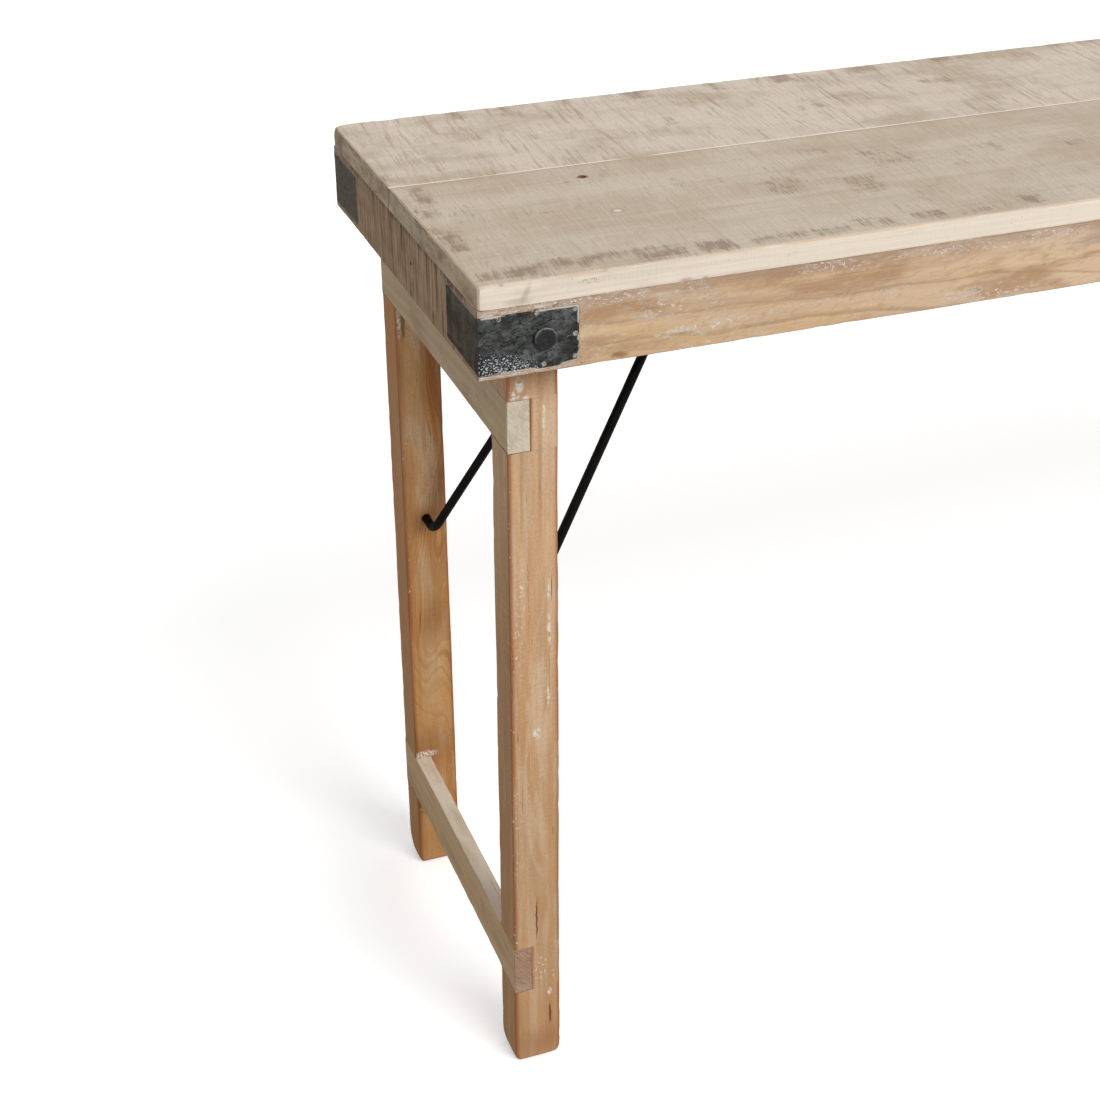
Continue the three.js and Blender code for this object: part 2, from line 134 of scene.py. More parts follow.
class TimberSettings(PropertyGroup):
    cell: length("Cell", "Spacing of the points along a timber", 5 * MM)
    fine_cell: length("Fine cell", "Spacing of the points across a slim timber", 4 * MM)
    board_corner: length("Board corner", "Radius of the top's corners in plan", 2.2 * MM)
    board_arris: length("Board arris", "Radius of the eased edges of the top boards", 1.6 * MM)
    corner_wear: length("Corner wear", "How far the corners of the top are worn back", 1.6 * MM)
    sawn_arris: length("Sawn arris", "Radius of the eased edges of aprons and battens", 1 * MM)
    leg_arris: length("Leg arris", "Radius of the eased edges of the legs", 2 * MM)
    leg_foot: length("Foot radius", "Radius of a leg's foot, in and out of the table's end", 6.5 * MM)
    upper_rail_arris: length("Upper rail arris", "Radius of the long edges of the upper rails", 0.7 * MM)
    lower_rail_arris: length("Lower rail arris", "Radius of the long edges of the lower rails", 1.6 * MM)
    end_arris: length("End arris", "Radius of the edges of the rails' ends", 0.25 * MM)
    joint_gap: length("Joint gap", "Room round the rails where the legs take them", 0.12 * MM)
    hollow: length("Hollows", "How deep the plane left the faces uneven", 0.3 * MM)
    knock: length("Knocks", "How deep the edges are knocked and worn", 1.1 * MM)
    wander: length("Wander", "How far the hand-sawn back edge of the top strays inwards", 0.9 * MM)


class TimberColours(PropertyGroup):
    board: colour("Board", "Sanded top of the boards", 198, 184, 167)
    scar: colour("Missed", "Old grey-brown surface that the plane missed", 130, 111, 93)
    board_edge: colour("Board edge", "Planed long edges of the top", 229, 217, 201)
    board_end: colour("Board end", "End grain of the boards", 177, 158, 133)
    side: colour("Side apron", "Long aprons", 193, 165, 136)
    end: colour("End apron", "Rough sawn end aprons", 158, 132, 106)
    leg: colour("Leg", "Legs, as their planed faces are", 196, 165, 132)
    raw_leg: colour("Raw leg", "Legs, as their sawn side faces are", 165, 127, 84)
    rail: colour("Rail", "Rails", 189, 168, 137)
    batten: colour("Batten", "Battens under the top", 172, 148, 120)
    filler: colour("Filler", "Flecks of old white filler", 228, 223, 216)


class IronSettings(PropertyGroup):
    plate_thickness: length("Plate thickness", "Thickness of the corner plates", 1.5 * MM)
    inner_bend: length("Inner bend", "Radius of a corner plate's bend inside", 0.4 * MM)
    outer_bend: length("Outer bend", "Radius of a corner plate's bend outside, hammered sharp", 1 * MM)
    plate_arris: length("Plate arris", "Radius of the edges of the sheet", 0.3 * MM)
    plate_dent: length("Plate dents", "How deep the corner plates are dented", 0.3 * MM)
    nail: length("Nail head", "Diameter of the nail heads", 4 * MM)
    nail_rise: length("Nail rise", "Height of the nail heads", 0.5 * MM)
    plate: colour("Plate", "Corner plates", 82, 84, 82)
    bolt: colour("Bolt", "Pivot bolts", 41, 42, 42)
    clip: colour("Clip", "Clips and their screws", 96, 97, 98)
    bar: colour("Bar", "Black bar of the stays", 14, 13, 12)


class StaySettings(PropertyGroup):
    bar: length("Bar", "Diameter of the bar", 8 * MM)
    crossbar: length("Crossbar", "Length of the crossbar between the middles of its bends' corners", 92 * MM)
    stand_off: length("Stand-off", "From a leg's inner face to the middle of the arm", 24 * MM)
    hook_drop: length("Hook drop", "From the leg's pivot down to the hook", 316 * MM)
    hook_inset: length("Hook inset", "From the leg's outer face to the hook", 21 * MM)
    shoulder_bend: length("Shoulder bend", "Radius of the bends at the crossbar", 13 * MM)
    hook_bend: length("Hook bend", "Radius of the hooks' bends", 11 * MM)
    hole_gap: length("Hole gap", "Room round the bar and the bolts in their holes", 0.3 * MM)
    hole_depth: length("Hole depth", "Depth of the hook holes", 14 * MM)
    sides: IntProperty(name="Sides", description="Faces round the bar", default=32, min=8)


class StageSettings(PropertyGroup):
    lens: length("Lens", "Focal length for a 36 mm wide picture", 59.952 * MM)
    camera_x: length("Camera X", "Camera place along the table", -1261.44 * MM)
    camera_y: length("Camera Y", "Camera place before the table", -1296.68 * MM)
    camera_z: length("Camera Z", "Camera height", 1251.49 * MM)
    yaw: FloatProperty(name="Yaw", description="Camera's turn to the right", default=math.radians(20.561),
                       subtype="ANGLE")
    pitch: FloatProperty(name="Pitch", description="Camera's tilt down", default=math.radians(30.657),
                         subtype="ANGLE")
    roll: FloatProperty(name="Roll", description="Camera's roll", default=math.radians(-0.069), subtype="ANGLE")
    floor_half: length("Floor", "Half the side of the floor", 30.0)
    floor_tone: share("Floor tone", "How pale the floor is", 0.9)
    floor_bounce: share("Floor bounce", "How much light the floor gives back to the table", 0.5)
    key: FloatProperty(name="Key light", description="Strength of the soft lamp", default=1.9)
    shade: share("Shade", "World light from the left", 0.4)
    fill: share("Fill", "World light from the right", 0.75)


def settings(context=None):
    return (context or bpy.context).scene.console_table


class TableSettings(PropertyGroup):
    timber: PointerProperty(type=TimberSettings, name="Timber", description="Sizes of the timber pieces")
    colours: PointerProperty(type=TimberColours, name="Colours", description="Colours of the timber pieces")
    iron: PointerProperty(type=IronSettings, name="Iron", description="Sizes and colours of the iron pieces")
    stay: PointerProperty(type=StaySettings, name="Stays", description="Sizes of the bent stays")
    stage: PointerProperty(type=StageSettings, name="Stage", description="Floor, light and camera")


# Lattices: a timber is the skin of a block of lattice points, rounded and worn as whole arrays

ARC_ANGLES = np.radians((0, 15, 30, 45))
# How near to a kept line an even one gives way, as a share of the cell
CLEAR_SHARE = 0.4
# Rings of the lattice round a hole, as shares of its radius: all of them, up to where it is sunk, and the last one
HOLE_RING_SHARES = np.array((0.35, 0.7, 0.98, 1.0, 1.4, 1.8))
RIM_SHARE = 0.985
REACH_SHARE = 1.8
# A random field's table, its steps from one corner of a cell to the next along each axis, and its shift for a seed
FIELD_SIZE = 4096
FIELD_STEPS = (73, 179, 283)
FIELD_SHIFT = 0.37
# How far apart hollows, ripples, knocks and rubbed edges lie, and the level of a random field from which it knocks
HOLLOW_CELL = mm(90, 60, 60)
RIPPLE_CELL, KNOCK_CELL, RUB_CELL = mm(15, 11, 55)
KNOCK_FROM = 0.25


def edge_lines(low, high, radius):
    """Lattice places where an edge of this radius is rounded, at equal angles of its arc, at both ends of a run."""
    inset = radius * (1 - np.tan(ARC_ANGLES))
    return np.concatenate((low + inset, high - inset))


def hole_lines(centre, radius):
    """Lattice places that make rings round a hole: a middle line and a pair for each ring."""
    return np.concatenate(([centre], centre - radius * HOLE_RING_SHARES, centre + radius * HOLE_RING_SHARES))


def lines(low, high, cell, radii=(), *kept):
    """Lattice places from low to high about a cell apart, with those of edges rounded to these radii. Even ones
    give way to those that have to be kept."""
    rounded = [edge_lines(low, high, radius) for radius in radii]
    kept = np.unique(np.round(np.concatenate((np.array([low, high]), *rounded, *kept)), 7))
    kept = kept[(kept > low - TINY) & (kept < high + TINY)]
    even = np.linspace(low, high, max(2, round((high - low) / cell) + 1))
    clear = np.abs(even[:, None] - kept[None, :]).min(axis=1) > cell * CLEAR_SHARE
    return np.sort(np.concatenate((kept, even[clear])))


def box_shell(xs, ys, zs):
    """The skin of a lattice block: its points, its quads wound outwards, and each point's indices in the lattice.
    Each of the six sides is a grid over two of the indices, and sides share the points of their common edge."""
    places = (xs, ys, zs)
    counts = np.array([len(p) for p in places])
    skins = []
    for axis, end in product((X, Y, Z), (0, 1)):
        u, v = (axis + 1) % 3, (axis + 2) % 3
        iu, iv = np.meshgrid(np.arange(counts[u] - 1), np.arange(counts[v] - 1), indexing="ij")
        around = ((0, 0), (1, 0), (1, 1), (0, 1)) if end else ((0, 0), (0, 1), (1, 1), (1, 0))
        corners = np.empty((iu.size, 4, 3), int)
        corners[:, :, axis] = end * (counts[axis] - 1)
        for n, (du, dv) in enumerate(around):
            corners[:, n, u] = (iu + du).ravel()
            corners[:, n, v] = (iv + dv).ravel()
        skins.append(corners)
    corners = np.concatenate(skins)
    keys = np.ravel_multi_index(tuple(np.moveaxis(corners, -1, 0)), tuple(counts))
    used, quads = np.unique(keys, return_inverse=True)
    index = np.stack(np.unravel_index(used, tuple(counts)), axis=1)
    points = np.stack([places[a][index[:, a]] for a in (X, Y, Z)], axis=1)
    return points, quads.reshape(-1, 4), index


def others(axis):
    """The two axes beside this one."""
    return [n for n in (X, Y, Z) if n != axis]


def ring(a, b):
    """By how much the pair (a, b) shrinks when squares about zero are drawn in to circles: the larger of the two
    over their hypotenuse."""
    size = np.hypot(a, b)
    return np.where(size > TINY, np.maximum(np.abs(a), np.abs(b)) / np.maximum(size, TINY), 1.0)


def ease(points, low, high, axis, corner, arris, corner_share=1.0, arris_share=1.0):
    """Rounds a block between the corners low and high. The four edges along the axis get the radius corner, and
    those round its two ends the radius arris: within a rounding, each square ring of the lattice is drawn in to a
    circle. The shares say how much of each rounding a point gets."""
    centre, half = (low + high) / 2, (high - low) / 2
    a, b = others(axis)
    sign, out = np.sign(points - centre), np.abs(points - centre)
    reach = np.clip(out - (half - arris), 0, None)
    shrink = 1 + (ring(np.maximum(reach[:, a], reach[:, b]), reach[:, axis]) - 1) * arris_share
    out = np.where(reach > TINY, half - arris + reach * shrink[:, None], out)
    reach = np.clip(out - (half - corner), 0, None)
    shrink = 1 + (ring(reach[:, a], reach[:, b]) - 1) * corner_share
    for n in (a, b):
        out[:, n] = np.where(reach[:, n] > TINY, half[n] - corner + reach[:, n] * shrink, out[:, n])
    return centre + sign * out


def edge_nearness(points, low, high, width):
    """1 on an edge of the block, falling off over the width as a bell: the second smallest distance to its sides
    is the distance to its nearest edge."""
    inside = np.minimum(points - low, high - points)
    distance = np.sort(inside, axis=1)[:, 1]
    return np.exp(-((distance / width) ** 2))


def field(points, cell, seed):
    """Smooth random values from -1 to 1: a random number at each corner of a grid of cells, joined by smooth
    steps. cell is one size or one for each axis."""
    table = np.random.default_rng(seed).uniform(-1, 1, FIELD_SIZE)
    grid = points / np.asarray(cell) + seed * FIELD_SHIFT
    base = np.floor(grid).astype(int)
    step = grid - base
    step = step * step * (3 - 2 * step)
    total = np.zeros(len(points))
    for corner in product((0, 1), repeat=3):
        pick = ((base + corner) * FIELD_STEPS).sum(axis=1) % FIELD_SIZE
        total += np.where(corner, step, 1 - step).prod(axis=1) * table[pick]
    return total


def normals_of(points, quads):
    """Each point's outward normal: the sum of the cross products of its quads' diagonals, made unit length."""
    a, b, c, d = (points[quads[:, n]] for n in range(4))
    face = np.cross(c - a, d - b)
    total = np.zeros_like(points)
    for n in range(4):
        np.add.at(total, quads[:, n], face)
    return total / np.maximum(np.linalg.norm(total, axis=1), TINY)[:, None]


def weather(points, quads, near_edge, seed, still=0.0):
    """Wears a timber, only ever inwards along its normals: shallow hollows, a finer unevenness, and knocks along the
    edges wherever a random field is high. still is 1 where a point has to stay."""
    timber = settings().timber
    hollow = (1 - field(points, HOLLOW_CELL, seed)) / 2
    ripple = (1 - field(points, RIPPLE_CELL, seed + 1)) / 4
    knock = np.clip(field(points, KNOCK_CELL, seed + 2) - KNOCK_FROM, 0, 1) * near_edge
    rub = np.clip(field(points, RUB_CELL, seed + 3), 0, 1) * near_edge / 2
    depth = timber.hollow * (hollow + ripple) + timber.knock * (knock + rub)
    return points - normals_of(points, quads) * (depth * (1 - still))[:, None]


def round_hole(points, chosen, axis, centre, radius, depth=0.0, only=None):
    """Makes rings of the lattice round about a centre on the chosen points of one side: squares up to the radius
    become circles, and the change dies out by the last ring. With a depth, all within the rim goes in that far,
    along the axis, as a blind hole."""
    a, b = others(axis)
    offset = points[:, (a, b)] - centre
    size = np.abs(offset).max(axis=1)
    chosen = chosen & (size < radius * REACH_SHARE - TINY)
    if only is not None:
        chosen = chosen & only
    fade = np.clip((REACH_SHARE - size / radius) / (REACH_SHARE - 1), 0, 1)
    factor = 1 + (ring(offset[:, 0], offset[:, 1]) - 1) * fade
    moved = points.copy()
    moved[chosen, a] = centre[0] + (offset[:, 0] * factor)[chosen]
    moved[chosen, b] = centre[1] + (offset[:, 1] * factor)[chosen]
    inside = chosen & (size < radius * RIM_SHARE)
    moved[inside, axis] += depth
    return moved


def pierce(quads, points, index, axis, centre, radius):
    """Opens a hole right through a block along the axis: the quads within the rim go from both of its sides, and
    each edge of the rim is joined to its twin on the other side. points are the lattice's own, before shaping."""
    a, b = others(axis)
    size = np.abs(points[:, (a, b)] - centre).max(axis=1)
    last = index[:, axis].max()
    within = (size < radius + TINY) & ((index[:, axis] == 0) | (index[:, axis] == last))
    gone = within[quads].all(axis=1) & (np.ptp(index[quads][:, :, axis], axis=1) == 0)
    lid = quads[gone]
    edges = np.stack((lid, np.roll(lid, -1, axis=1)), axis=-1).reshape(-1, 2)
    keys = edges[:, 0] * len(points) + edges[:, 1]
    rim = edges[~np.isin(keys, edges[:, 1] * len(points) + edges[:, 0])]
    rim = rim[index[rim[:, 0], axis] == 0]
    counts = index.max(axis=0) + 1
    key = np.ravel_multi_index((index[:, a], index[:, b]), (counts[a], counts[b]))
    far = np.flatnonzero(index[:, axis] == last)
    order = far[np.argsort(key[far])]
    twin = order[np.searchsorted(key[order], key[rim])]
    wall = np.stack((rim[:, 0], rim[:, 1], twin[:, 1], twin[:, 0]), axis=1)
    return np.concatenate((quads[~gone], wall))


def turned(radii, places, sides, closed=False):
    """A profile turned about Z: the point of ring n at the angle t is (radii[n] cos t, radii[n] sin t, places[n]).
    The first and last ring are capped, or joined to each other if the profile is closed."""
    angle = np.arange(sides) / sides * math.tau
    radii, places = np.asarray(radii, float), np.asarray(places, float)
    points = np.stack((
        np.outer(radii, np.cos(angle)), np.outer(radii, np.sin(angle)), np.repeat(places[:, None], sides, 1),
    ), axis=-1).reshape(-1, 3)
    faces = tube_quads(len(radii), sides, closed)
    if not closed:
        faces = [list(range(sides))[::-1], list(range((len(radii) - 1) * sides, len(radii) * sides)), *faces]
    return points, faces


def tube_quads(rings, sides, closed=False):
    """The quads of a tube of rings, wound outwards when the rings follow each other along +Z."""
    along = np.arange(rings if closed else rings - 1)[:, None]
    around = np.arange(sides)[None, :]
    after, beside = (along + 1) % rings, (around + 1) % sides
    quads = np.stack(np.broadcast_arrays(
        along * sides + around, along * sides + beside, after * sides + beside, after * sides + around), axis=-1)
    return quads.reshape(-1, 4).tolist()


def rounded_path(corners, radii, turn_step=math.radians(6)):
    """Straight runs between corners, joined by arcs of the given radii: on an arc, the point at the share t of the
    bend is centre + cos(t a) spoke + sin(t a) forward, with a the angle of the bend."""
    corners = np.asarray(corners, float)
    path = [corners[:1]]
    for before, corner, after, radius in zip(corners[:-2], corners[1:-1], corners[2:], radii):
        back = (before - corner) / np.linalg.norm(before - corner)
        on = (after - corner) / np.linalg.norm(after - corner)
        half = math.acos(float(np.clip(back @ on, -1, 1))) / 2
        start = corner + back * radius / math.tan(half)
        middle = (back + on) / np.linalg.norm(back + on)
        centre = corner + middle * radius / math.sin(half)
        sweep = math.pi - 2 * half
        t = np.linspace(0, sweep, max(3, math.ceil(sweep / turn_step)))[:, None]
        path.append(centre + np.cos(t) * (start - centre) - np.sin(t) * radius * back)
    path.append(corners[-1:])
    return np.concatenate(path)


def directions(path):
    """The unit tangent at each point of a path: the mean of the runs on both sides of it."""
    runs = np.diff(path, axis=0)
    runs = runs / np.linalg.norm(runs, axis=1)[:, None]
    mean = np.concatenate((runs[:1], runs[:-1] + runs[1:], runs[-1:]))
    return mean / np.linalg.norm(mean, axis=1)[:, None]


def copies(points, faces, places):
    """The same small shape at several places, as one mesh."""
    moved = (places[:, None, :] + points[None, :, :]).reshape(-1, 3)
    many = [[corner + n * len(points) for corner in face] for n in range(len(places)) for face in faces]
    return moved, many


def joined(*shapes):
    """Several shapes as one mesh."""
    points = np.concatenate([p for p, _ in shapes])
    starts = np.cumsum([0, *[len(p) for p, _ in shapes]])
    return points, [[c + int(start) for c in face] for start, (_, faces) in zip(starts, shapes) for face in faces]


def wound(faces, mirrored):
    """Faces turned round where a mirrored place has turned their shape inside out."""
    if isinstance(faces, np.ndarray):
        return faces[:, ::-1] if mirrored else faces
    return [face[::-1] for face in faces] if mirrored else faces


def at_corner(end, side, outer, inwards, height):
    """Points at one corner of the table, from how far they lie in from its outer faces and from their height."""
    return np.stack((WAY[end] * (outer[X] - inwards[:, X]), WAY[side] * (outer[Y] - inwards[:, Y]), height), axis=1)


def along_bolt(points, low, high, way=1):
    """A turned shape laid along Y in the middle of a box, inwards from its face on one way."""
    centre = (low + high) / 2
    face = high[Y] if way > 0 else low[Y]
    return np.stack((centre[X] + points[:, 0], face - way * points[:, 2], centre[Z] + points[:, 1]), axis=1)


def make_piece(name, points, faces, material, node, slot, replaced=None, sharp=40, **attributes):
    """Puts a shape into a mesh object, with its squared normals and any other values as attributes for its
    material, and lets it ride on the node's body and stand for the node."""
    faces = faces.tolist() if isinstance(faces, np.ndarray) else faces
    mesh = bpy.data.meshes.new(name)
    mesh.from_pydata(points.tolist(), [], faces)
    mesh.shade_smooth()
    mesh.set_sharp_from_angle(angle=math.radians(sharp))
    normal = np.empty(len(points) * 3, np.float32)
    mesh.vertex_normals.foreach_get("vector", normal)
    facing = mesh.attributes.new("facing", "FLOAT_VECTOR", "POINT")
    facing.data.foreach_set("vector", normal ** 2)
    for title, values in attributes.items():
        attribute = mesh.attributes.new(title, "FLOAT", "POINT")
        attribute.data.foreach_set("value", np.asarray(values, np.float32))
    mesh.materials.append(material)
    piece = bpy.data.objects.new(name, mesh)
    bpy.context.scene.collection.objects.link(piece)
    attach(piece, frame["nodes"][node]["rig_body"])
    if replaced is None:
        replaced = (node,)
    if replaced:
        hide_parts(*replaced)
    return piece


# Finishes


def feed(tree, socket, value):
    """Links a value or an output to a socket, or sets the socket to a plain value."""
    value = getattr(value, "socket", value)
    if isinstance(value, bpy.types.NodeSocket):
        tree.links.new(value, socket)
    else:
        socket.default_value = value


def add_node(tree, kind, inputs=None, **choices):
    """A new node with its choices made and its inputs fed, each by name or number."""
    node = tree.nodes.new(kind)
    for title, choice in choices.items():
        setattr(node, title, choice)
    for socket, value in (inputs or {}).items():
        feed(tree, node.inputs[socket], value)
    return node


NO_SHIFT = (0, 0, 0)
MIDDLE_GREY = (0.5, 0.5, 0.5)
DARK_WARMTH = 0.09
LIGHT_WARMTH = -0.02


class Value:
    """A number or vector that nodes work out. A sum, a product, the larger of two (a | b) or the size without its
    sign (abs) adds the node for it."""

    def __init__(self, finish, socket):
        self.finish, self.socket = finish, socket

    def calc(self, operation, other=0.0):
        return self.finish.out("ShaderNodeMath", {0: self, 1: other}, operation=operation)

    def __add__(self, other):
        return self.calc("ADD", other)

    def __radd__(self, other):
        return self.finish.out("ShaderNodeMath", {0: other, 1: self}, operation="ADD")

    def __sub__(self, number):
        return self + -number

    def __mul__(self, other):
        return self.calc("MULTIPLY", other)

    def __or__(self, other):
        return self.calc("MAXIMUM", other)

    def __abs__(self):
        return self.calc("ABSOLUTE")

    def ramp(self, low, high, to_low=0.0, to_high=1.0):
        """A smooth step from to_low to to_high as the value goes from low to high."""
        return self.finish.out("ShaderNodeMapRange", {
            "Value": self, "From Min": low, "From Max": high, "To Min": to_low, "To Max": to_high},
            interpolation_type="SMOOTHSTEP")


class Finish:
    """A procedural material being built, with short ways to add nodes that read the piece's own coordinates."""

    def __init__(self, name, roughness, metallic=0.0, specular=0.5):
        self.material = bpy.data.materials.new(name)
        self.material.use_nodes = True
        self.tree = self.material.node_tree
        self.shader = self.tree.nodes["Principled BSDF"]
        self.set("Roughness", roughness)
        self.set("Metallic", metallic)
        self.set("Specular IOR Level", specular)
        self.here = self.out("ShaderNodeTexCoord", output="Object")

    def set(self, socket, value):
        feed(self.tree, self.shader.inputs[socket], value)

    def out(self, kind, inputs=None, output=0, **choices):
        """An output of a new node, by name or number."""
        return Value(self, add_node(self.tree, kind, inputs, **choices).outputs[output])

    def scaled(self, rates, shift=NO_SHIFT, turn=NO_SHIFT):
        """The coordinates turned, then times rates per metre, and shifted. One rate serves for all three axes."""
        rates = rates if isinstance(rates, tuple) else (rates,) * 3
        place = self.here
        if any(turn):
            place = self.out("ShaderNodeMapping", {"Vector": place, "Rotation": turn})
        return self.out("ShaderNodeMapping", {"Vector": place, "Scale": rates, "Location": shift})

    def noise(self, rates, detail=3.0, roughness=0.62, distortion=0.0, shift=NO_SHIFT, turn=NO_SHIFT):
        """Soft noise with so many swells per metre along each axis, about 0.5."""
        return self.out("ShaderNodeTexNoise", {
            "Vector": self.scaled(rates, shift, turn), "Scale": 1.0, "Detail": detail, "Roughness": roughness,
            "Distortion": distortion})

    def cells(self, rates):
        """The distance to the nearest of scattered points, so many per metre along each axis."""
        return self.out("ShaderNodeTexVoronoi", {"Vector": self.scaled(rates), "Scale": 1.0}, "Distance")

    def value_of(self, name, output="Fac"):
        """A value that the mesh carries."""
        return self.out("ShaderNodeAttribute", None, output, attribute_name=name, attribute_type="GEOMETRY")

    def facing(self):
        """How much a surface faces along X, Y and Z, from its squared normal, each 0 to 1."""
        parts = add_node(self.tree, "ShaderNodeSeparateXYZ", {0: self.value_of("facing", "Vector")}).outputs
        return [Value(self, part).ramp(0.35, 0.65) for part in parts]

    def part(self, axis):
        """One of the object coordinates."""
        return self.out("ShaderNodeSeparateXYZ", {0: self.here}, axis)

    def mix(self, factor, a, b):
        return self.out("ShaderNodeMix", {0: factor, 6: a, 7: b}, 2, data_type="RGBA")

    def growth(self, across, sway, sway_rates, shift=NO_SHIFT, detail=3.0):
        """Growth lines as a sawn face shows them: a steady count across the grain, so many a metre along each
        axis, is pushed to and fro by slow noise and read by a finer one, so that its lines keep to the sway."""
        count = self.out("ShaderNodeVectorMath", {0: self.here, 1: across}, "Value", operation="DOT_PRODUCT")
        swayed = count + self.noise(sway_rates, 1.5, shift=shift) * sway
        place = self.out("ShaderNodeCombineXYZ", {0: swayed, 1: shift[1], 2: shift[2]})
        return self.out("ShaderNodeTexNoise", {"Vector": place, "Scale": 1.0, "Detail": detail, "Roughness": 0.62})

    def ragged(self, amount, rate=180.0):
        """The coordinates pushed about by noise, so that a mark's outline is uneven."""
        push = self.out("ShaderNodeTexNoise", {"Vector": self.scaled(rate), "Scale": 1.0, "Detail": 3.0}, "Color")
        centred = self.out("ShaderNodeVectorMath", {0: push, 1: MIDDLE_GREY}, operation="SUBTRACT")
        scaled = self.out("ShaderNodeVectorMath", {0: centred, "Scale": amount}, operation="SCALE")
        return self.out("ShaderNodeVectorMath", {0: self.here, 1: scaled}, operation="ADD")

    def spot(self, vector, centre, reach, turn=NO_SHIFT, soft=0.3):
        """1 within an ellipsoid of half sizes reach about a centre, falling to 0 across its outline."""
        local = self.out("ShaderNodeMapping", {
            "Vector": vector, "Location": centre, "Rotation": turn, "Scale": reach}, vector_type="TEXTURE")
        return self.out("ShaderNodeVectorMath", {0: local}, "Value", operation="LENGTH").ramp(1 + soft, 1 - soft)

    def paint(self, base, coat, mask, strength=1.0):
        """The base colour with a coat laid over it where the mask says, as far as the strength."""
        return self.mix(mask if strength == 1.0 else mask * strength, base, coat)

    def lay(self, coat, mask, strength=1.0):
        """Lays a coat over the finish's base colour where the mask says, as far as the strength."""
        self.base = self.paint(self.base, coat, mask, strength)

    def shade(self, pattern, hue, dark, light=None):
        """Darker and warmer where a pattern is high, lighter where it is low. dark and light are each the level
        where that starts, the level where it is full, a factor on the colour, and a strength."""
        for step, warmth in ((dark, DARK_WARMTH), (light, LIGHT_WARMTH)):
            if step:
                start, full, factor, strength = step
                self.lay(tint(hue, factor, warmth), pattern.ramp(start, full), strength)

    def wear(self, coat, strength, rates=40, low=0.5, where=1.0):
        """Lays a coat in patches along the worn edges."""
        mask = self.value_of("edge").ramp(low, 1.0) * self.noise(rates, 4).ramp(0.35, 0.6) * where
        self.lay(coat, mask, strength)

    def bump(self, height, depth, strength=1.0):
        self.set("Normal", self.out("ShaderNodeBump", {"Height": height, "Distance": depth, "Strength": strength}))

    def done(self):
        self.set("Base Color", self.base)
        return self.material


def tint(base, factor, warmth=0.0):
    """A colour made lighter or darker by a factor, and warmer where warmth is above 0."""
    shares = (factor * (1 + warmth), factor, factor * (1 - warmth))
    return (*[min(1.0, part * portion) for part, portion in zip(base, shares)], 1.0)


# Marks on the top that the photographed end shows. Each is its distance from the left end and from the back edge,
# its half length and half width, in millimetres, and its strength. The other half of the top has them turned
# half round.
MISSED_BY_THE_PLANE = (
    (104, 12, 8, 14, 0.7), (149, 12, 7, 15, 0.8), (208, 9, 8, 11, 0.8), (249, 8, 6, 9, 0.6), (273, 12, 11, 14, 0.9),
    (351, 12, 6, 14, 0.8), (375, 6, 3, 7, 0.5), (393, 11, 5, 13, 0.7), (417, 10, 11, 13, 1.0), (500, 10, 18, 12, 0.8),
    (586, 8, 13, 9, 0.7), (612, 7, 11, 8, 0.7), (715, 7, 9, 8, 0.7), (752, 8, 16, 8, 0.6),
    (66, 78, 5, 9, 0.5), (103, 82, 7, 12, 0.6), (122, 85, 2.5, 10, 0.9), (146, 86, 6, 12, 0.6), (272, 92, 8, 12, 0.6),
    (412, 92, 7, 13, 0.8), (292, 127, 4, 9, 0.6), (536, 66, 9, 9, 0.6), (556, 70, 8, 12, 0.7),
    (9, 50, 5, 22, 0.5), (3, 146, 4, 6, 1.0), (18, 195, 5.5, 19, 1.0), (14, 220, 9, 4, 0.7), (13, 234, 10, 9, 0.8),
    (8, 270, 7, 8, 0.8), (12, 298, 8, 20, 0.85), (36, 244, 14, 20, 0.35),
    (14, 366, 8, 8, 0.8), (42, 367, 16, 11, 0.9), (70, 361, 11, 10, 0.8), (88, 363, 7, 9, 0.8), (125, 359, 42, 7, 0.7),
    (142, 369, 22, 9, 0.8), (186, 369, 14, 9, 1.1), (224, 370, 11, 8, 0.7), (250, 369, 11, 8, 0.7),
    (279, 371, 17, 7, 0.7), (308, 367, 5, 10, 0.8), (327, 368, 5, 9, 0.8), (362, 368, 14, 9, 0.8),
    (400, 373, 16, 5, 0.6), (427, 364, 5, 6, 0.6), (452, 365, 9, 8, 0.9),
    (140, 210, 24, 11, 0.35), (170, 200, 7, 10, 0.5), (217, 237, 8, 13, 0.45), (243, 243, 12, 10, 0.45),
    (290, 203, 16, 5, 0.4), (289, 271, 19, 21, 0.55), (300, 262, 10, 8, 0.5), (350, 204, 15, 8, 0.55),
    (349, 289, 16, 20, 0.6), (382, 257, 6, 8, 0.6), (400, 236, 22, 22, 0.4), (398, 313, 12, 8, 0.45),
    (88, 262, 18, 7, 0.4), (445, 275, 6, 5, 0.5), (494, 247, 5, 13, 0.8), (560, 265, 12, 10, 0.5),
)
MARK_EDGE = 13 * MM
SAW_SLANT = (0, 0, math.radians(4))
NAIL_HOLE = (150 * MM, 198 * MM)
NAIL_HOLE_RADIUS = 2.6 * MM
NAIL_HOLE_DEPTH = 5 * MM
FILLED_HOLE = (147 * MM, 278 * MM)
